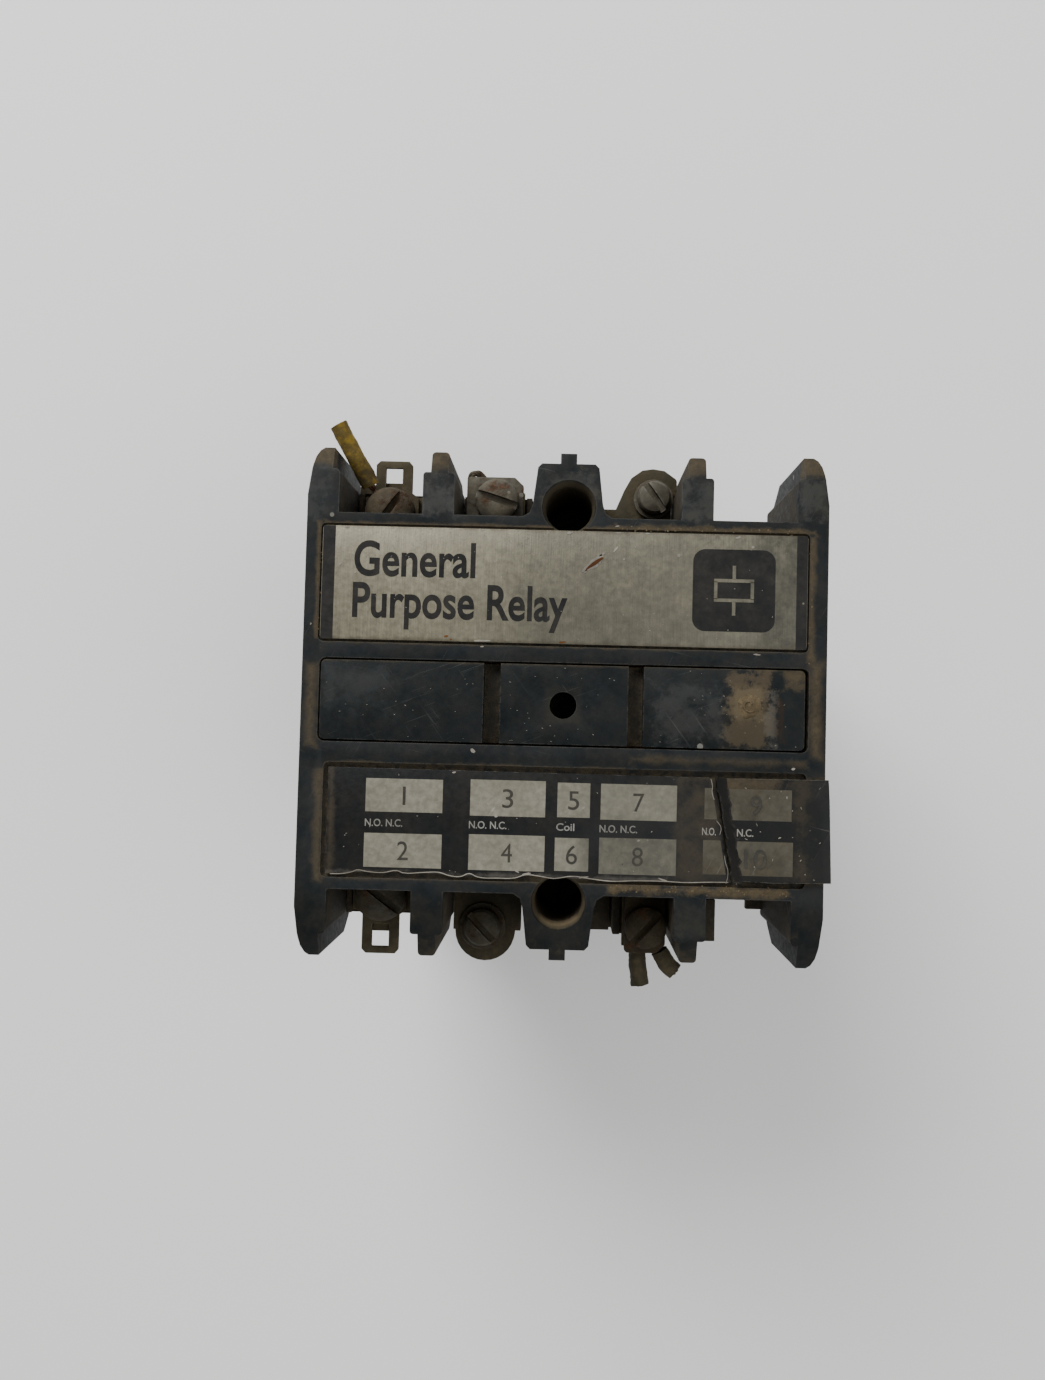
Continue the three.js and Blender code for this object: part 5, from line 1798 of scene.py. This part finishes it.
@dataclass
class Wires:
    """The cut ends of wire left under three terminals."""

    vinyl_r: float = 1.5
    strand_r: float = 0.2

    def build(self) -> list[bpy.types.Object]:
        """Builds the stubs and loose strands."""
        return [self.yellow(), self.bare_end(), *self.olive(), self.loose_strand()]

    def insulation(self, points: Sequence[Sequence[float]], seed: float) -> bmesh.types.BMesh:
        """Makes a length of swollen, nicked insulation along points.

        Args:
            points: the points of its middle line.
            seed: what tells one length's bumps from another's.

        Returns:
            The mesh.
        """
        bm = tube(points, self.vinyl_r, 6, 14)
        bmesh.ops.subdivide_edges(bm, edges=[e for e in bm.edges if e.calc_length() > 0.6], cuts=1)
        roughen(bm, 0.16, 0.55, seed)
        roughen(bm, 0.07, 2.2, seed + 7.0)
        bmesh.ops.recalc_face_normals(bm, faces=bm.faces)
        return bm

    def strands(self, path: Sequence[Sequence[float]], spread: float, twist: float) -> bmesh.types.BMesh:
        """Makes a bundle of seven strands twisted round a path.

        Args:
            path: the bundle's centreline.
            spread: how far the outer strands are from it.
            twist: turns from end to end.

        Returns:
            The mesh.
        """
        bm = bmesh.new()
        knots = [Vector(p) for p in path]
        for strand in range(7):
            line = []
            for i, knot in enumerate(knots):
                ahead = (knots[min(i + 1, len(knots) - 1)] - knots[max(i - 1, 0)]).normalized()
                side = ahead.orthogonal().normalized()
                a = math.tau * (strand / 6 + twist * i / (len(knots) - 1))
                off = Matrix.Rotation(a, 3, ahead) @ side * (spread if strand < 6 else 0.0)
                line.append(knot + off)
            join_into(bm, tube(line, self.strand_r, 2, 6))
        return bm

    def yellow(self) -> bpy.types.Object:
        """The yellow stub at terminal 1.

        Returns:
            The finished piece.
        """
        line = ((-33.6, 36.7, 66.8), (-34.8, 38.9, 67.7), (-36.0, 41.0, 68.5), (-37.5, 43.8, 69.3),
                (-38.8, 46.1, 70.0))
        bm = self.insulation(line, 1.3)
        return publish(
            "wire_1_vinyl", bm, Look.YELLOW_WIRE, "frame", ["wire_1_insulation"], 50.0
        )

    def bare_end(self) -> bpy.types.Object:
        """The bare conductor hooked round the screw of terminal 1.

        Returns:
            The finished piece.
        """
        path = ((-34.1, 37.6, 67.0), (-33.5, 36.6, 66.2), (-32.9, 35.6, 65.3), (-31.6, 34.9, 64.85),
                (-29.6, 35.3, 64.75), (-27.9, 34.4, 64.75), (-27.2, 33.0, 64.75), (-26.9, 31.6, 64.75))
        bm = self.strands(path, 0.4, 1.4)
        return publish("wire_1_strands", bm, Look.COPPER, "frame", ["wire_1_core"], 50.0)

    def olive(self) -> list[bpy.types.Object]:
        """The two olive stubs at terminal 8, with the strands that show at their cut ends.

        Returns:
            The finished pieces.
        """
        made = []
        for name, points, root in (
            ("wire_8_left",
             ((13.5, -41.0, 64.2), (13.65, -42.5, 64.22), (13.85, -44.2, 64.32), (14.2, -46.7, 64.6)),
             ((13.4, -39.4, 64.2), (13.45, -40.4, 64.2), (13.55, -41.6, 64.22))),
            ("wire_8_right",
             ((17.3, -41.0, 64.2), (17.9, -42.1, 64.22), (18.8, -43.3, 64.3), (20.1, -44.4, 64.48)),
             ((16.3, -39.5, 64.2), (16.8, -40.3, 64.2), (17.4, -41.4, 64.22))),
        ):
            vinyl = self.insulation(points, len(made) * 3.1)
            made.append(publish(name + "_vinyl", vinyl, Look.OLIVE_WIRE, "frame", [name], 50.0))
            tail = (Vector(points[-1]) - Vector(points[-2])).normalized()
            end = Vector(points[-1])
            bm = self.strands((end - tail * 0.6, end, end + tail * 0.15), 0.42, 0.1)
            join_into(bm, self.strands(root, 0.5, 0.5))
            made.append(publish(name + "_strands", bm, Look.BRASS, "frame", (), 50.0))
        return made

    def loose_strand(self) -> bpy.types.Object:
        """The twist of old conductor that stands up beside terminal 3.

        Returns:
            The finished piece.
        """
        path = (
            (-12.6, 37.6, 64.4), (-14.2, 38.5, 64.5), (-15.5, 39.6, 64.95), (-16.5, 39.3, 65.3),
            (-16.9, 38.6, 64.7)
        )
        bm = self.strands(path, 0.38, 0.8)
        return publish("wire_3_strands", bm, Look.RUSTY_STEEL, "frame", ["wire_3_strand"], 50.0)


@dataclass
class Magnet:
    """The solenoid: coil, laminated core and armature, and the springs that lift the carrier."""

    spring_x: float = 21.0
    spring_z: tuple[float, float] = (53.9, 69.7)
    spring_r: float = 2.4
    wire_r: float = 0.35
    turns: int = 6
    keep: float = 0.747
    tape_half: tuple[float, float] = (14.35, 18.35)
    tape_z: tuple[float, float] = (17.5, 34.5)

    def build(self) -> list[bpy.types.Object]:
        """Builds the magnet.

        Returns:
            The finished pieces.
        """
        made = [self.tape()]
        for node, look, body, slot in (
            ("coil", Look.COIL, "frame", "coil_resin"),
            ("magnet_core", Look.CORE, "frame", "core_steel"),
            ("shading_ring_left", Look.COPPER, "frame", "copper"),
            ("shading_ring_right", Look.COPPER, "frame", "copper"),
            ("core_pad_left", Look.RUBBER, "frame", "rubber"),
            ("core_pad_right", Look.RUBBER, "frame", "rubber"),
            ("armature", Look.CORE, "carrier", "core_steel"),
            ("armature_pin", Look.SPRING, "carrier", "steel"),
        ):
            made.append(carried_over(node, look, body, slot, 0.25 if node == "coil" else 0.15))
        return made + [self.spring("left", -self.spring_x), self.spring("right", self.spring_x)]

    def tape(self) -> bpy.types.Object:
        """The turns of tape round the winding.

        Returns:
            The finished piece.
        """
        bm = bmesh.new()
        (x, y), (low, high) = self.tape_half, self.tape_z
        layers = 5
        for i in range(layers):
            z0 = low + (high - low) * i / layers
            z1 = z0 + (high - low) / layers + 0.4
            sheet = 0.12 * ((i * 2) % 3)
            turn = bmesh.new()
            add_block(turn, (-x - sheet, -y - sheet, z0), (x + sheet, y + sheet, z1))
            sides = [e for e in turn.edges if abs(e.verts[0].co.z - e.verts[1].co.z) > 1.0]
            bmesh.ops.bevel(
                turn, geom=sides, offset=2.0, segments=5, profile=0.5, affect="EDGES", clamp_overlap=True,
                material=-1
            )
            tunnel = bmesh.new()
            add_block(tunnel, (-6.6, -10.6, z0 - 0.5), (6.6, 10.6, z1 + 0.5))
            join_into(bm, cut_with(turn, tunnel))
        return publish("coil_tape_shape", bm, Look.TAPE, "frame")

    def spring(self, side: str, x: float) -> bpy.types.Object:
        """Builds one return spring with closed end turns.

        Args:
            side: left or right, for the name.
            x: the spring's X.

        Returns:
            The finished piece.
        """
        points = []
        low, high = self.spring_z[0] + self.wire_r, self.spring_z[1] - self.wire_r
        count = self.turns * 12
        for i in range(count + 1):
            share = i / count
            eased = share - 0.5 * math.sin(math.tau * share) / math.tau
            a = math.tau * self.turns * share
            points.append(
                (x + self.spring_r * math.cos(a), self.spring_r * math.sin(a), low + (high - low) * eased)
            )
        name = f"return_spring_{side}"
        coil = publish(
            name + "_wire", tube(points, self.wire_r, 3, 3), Look.SPRING, "frame", [name]
        )
        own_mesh(coil)
        return coil


@dataclass
class Enclosure:
    """The magnet housing and the steel base plate."""

    rib_xs: tuple[float, ...] = (-28.0, -21.0, 21.0, 28.0)
    rib_half: float = 0.9
    rib_stand: float = 0.7
    rib_z: tuple[float, float] = (4.0, 46.0)
    back_y: float = 34.0

    def build(self) -> list[bpy.types.Object]:
        """Builds the housing, its ribs and the base plate.

        Returns:
            The finished pieces.
        """
        return [
            carried_over("magnet_housing", Look.HOUSING, "frame", "phenolic", 0.3),
            self.ribs(),
            carried_over("base_plate", Look.BASE, "frame", "plate_steel", 0.25),
        ]

    def ribs(self) -> bpy.types.Object:
        """Moulded ribs on the two long faces and a raised field on each side face.

        Returns:
            The finished piece.
        """
        bm = bmesh.new()
        low, high = self.rib_z
        for side in (-1, 1):
            for x in self.rib_xs:
                near, far = sorted((side * (self.back_y - 0.4), side * (self.back_y + self.rib_stand)))
                add_block(bm, (x - self.rib_half, near, low), (x + self.rib_half, far, high), 0.3)
            near, far = sorted((side * 36.1, side * 37.1))
            add_block(bm, (near, -24.0, 8.0), (far, 24.0, 42.0), 0.4)
            near, far = sorted((side * 36.8, side * 37.5))
            for y in (-16.0, -8.0, 0.0, 8.0, 16.0):
                add_block(bm, (near, y - 0.8, 12.0), (far, y + 0.8, 38.0), 0.3)
        return publish("magnet_housing_ribs", bm, Look.HOUSING, "frame")


@dataclass
class Studio:
    """The pale floor, the soft lights and the camera."""

    camera_at: tuple[float, float, float] = (0.0001, -0.0037, 0.242)
    right: tuple[float, float, float] = (0.999638, 0.025475, -0.008656)
    up: tuple[float, float, float] = (-0.025143, 0.999016, 0.036548)
    back: tuple[float, float, float] = (0.009579, -0.036317, 0.999294)
    lens: float = 27.104
    shift: float = -0.02283
    floor_half: float = 3.0

    def build(self) -> None:
        """Builds the studio."""
        self.floor()
        self.light("key_light", (-0.4, 0.75, 0.6), 0.6, 13.0)
        self.light("fill_light", (0.6, -0.2, 0.9), 0.9, 4.0)
        self.light("low_light", (0.1, -0.9, 0.35), 0.6, 1.2)
        world = bpy.data.worlds.new("studio")
        world.use_nodes = True
        ground = world.node_tree.nodes["Background"]
        ground.inputs["Color"].default_value = (1.0, 1.0, 1.0, 1.0)
        ground.inputs["Strength"].default_value = 0.5
        bpy.context.scene.world = world
        self.camera()

    def floor(self) -> None:
        """Lays the floor under the base plate."""
        bm = bmesh.new()
        bmesh.ops.create_grid(bm, x_segments=1, y_segments=1, size=self.floor_half)
        mesh = bpy.data.meshes.new("floor")
        bm.to_mesh(mesh)
        bm.free()
        material = bpy.data.materials.new("pale_floor")
        material.use_nodes = True
        shader = material.node_tree.nodes["Principled BSDF"]
        shader.inputs["Base Color"].default_value = (0.86, 0.86, 0.855, 1.0)
        shader.inputs["Roughness"].default_value = 0.9
        mesh.materials.append(material)
        floor = bpy.data.objects.new("floor", mesh)
        bpy.context.scene.collection.objects.link(floor)

    @staticmethod
    def light(name: str, at: tuple[float, float, float], size: float, power: float) -> None:
        """Adds a soft light aimed at the relay.

        Args:
            name: its name.
            at: its place in metres.
            size: its side in metres.
            power: its power in watts.
        """
        data = bpy.data.lights.new(name, "AREA")
        data.shape, data.size, data.energy = "SQUARE", size, power
        lamp = bpy.data.objects.new(name, data)
        lamp.location = at
        lamp.rotation_mode = "QUATERNION"
        lamp.rotation_quaternion = (Vector((0, 0, 0.05)) - Vector(at)).to_track_quat("-Z", "Y")
        bpy.context.scene.collection.objects.link(lamp)

    def camera(self) -> None:
        """Places the camera above the front."""
        data = bpy.data.cameras.new("camera")
        data.lens, data.sensor_width, data.shift_x = self.lens, 36.0, self.shift
        data.clip_start, data.clip_end = 0.01, 20.0
        camera = bpy.data.objects.new("camera", data)
        axes = Matrix((self.right, self.up, self.back)).transposed()
        camera.matrix_world = Matrix.Translation(self.camera_at) @ axes.to_4x4()
        bpy.context.scene.collection.objects.link(camera)
        bpy.context.scene.camera = camera


def main() -> None:
    """Builds the relay and the studio, and reports each piece."""
    logging.basicConfig(level=logging.INFO, format="%(message)s")
    for assembly in (
        FrontHousing(), Nameplate(), RatingLabel(), ContactCarrier(), Terminals(), Wires(), Magnet(),
        Enclosure()
    ):
        for piece in assembly.build():
            log.info("%s: %d faces", piece.name, len(piece.data.polygons))
    Studio().build()


if __name__ == "__main__":
    main()
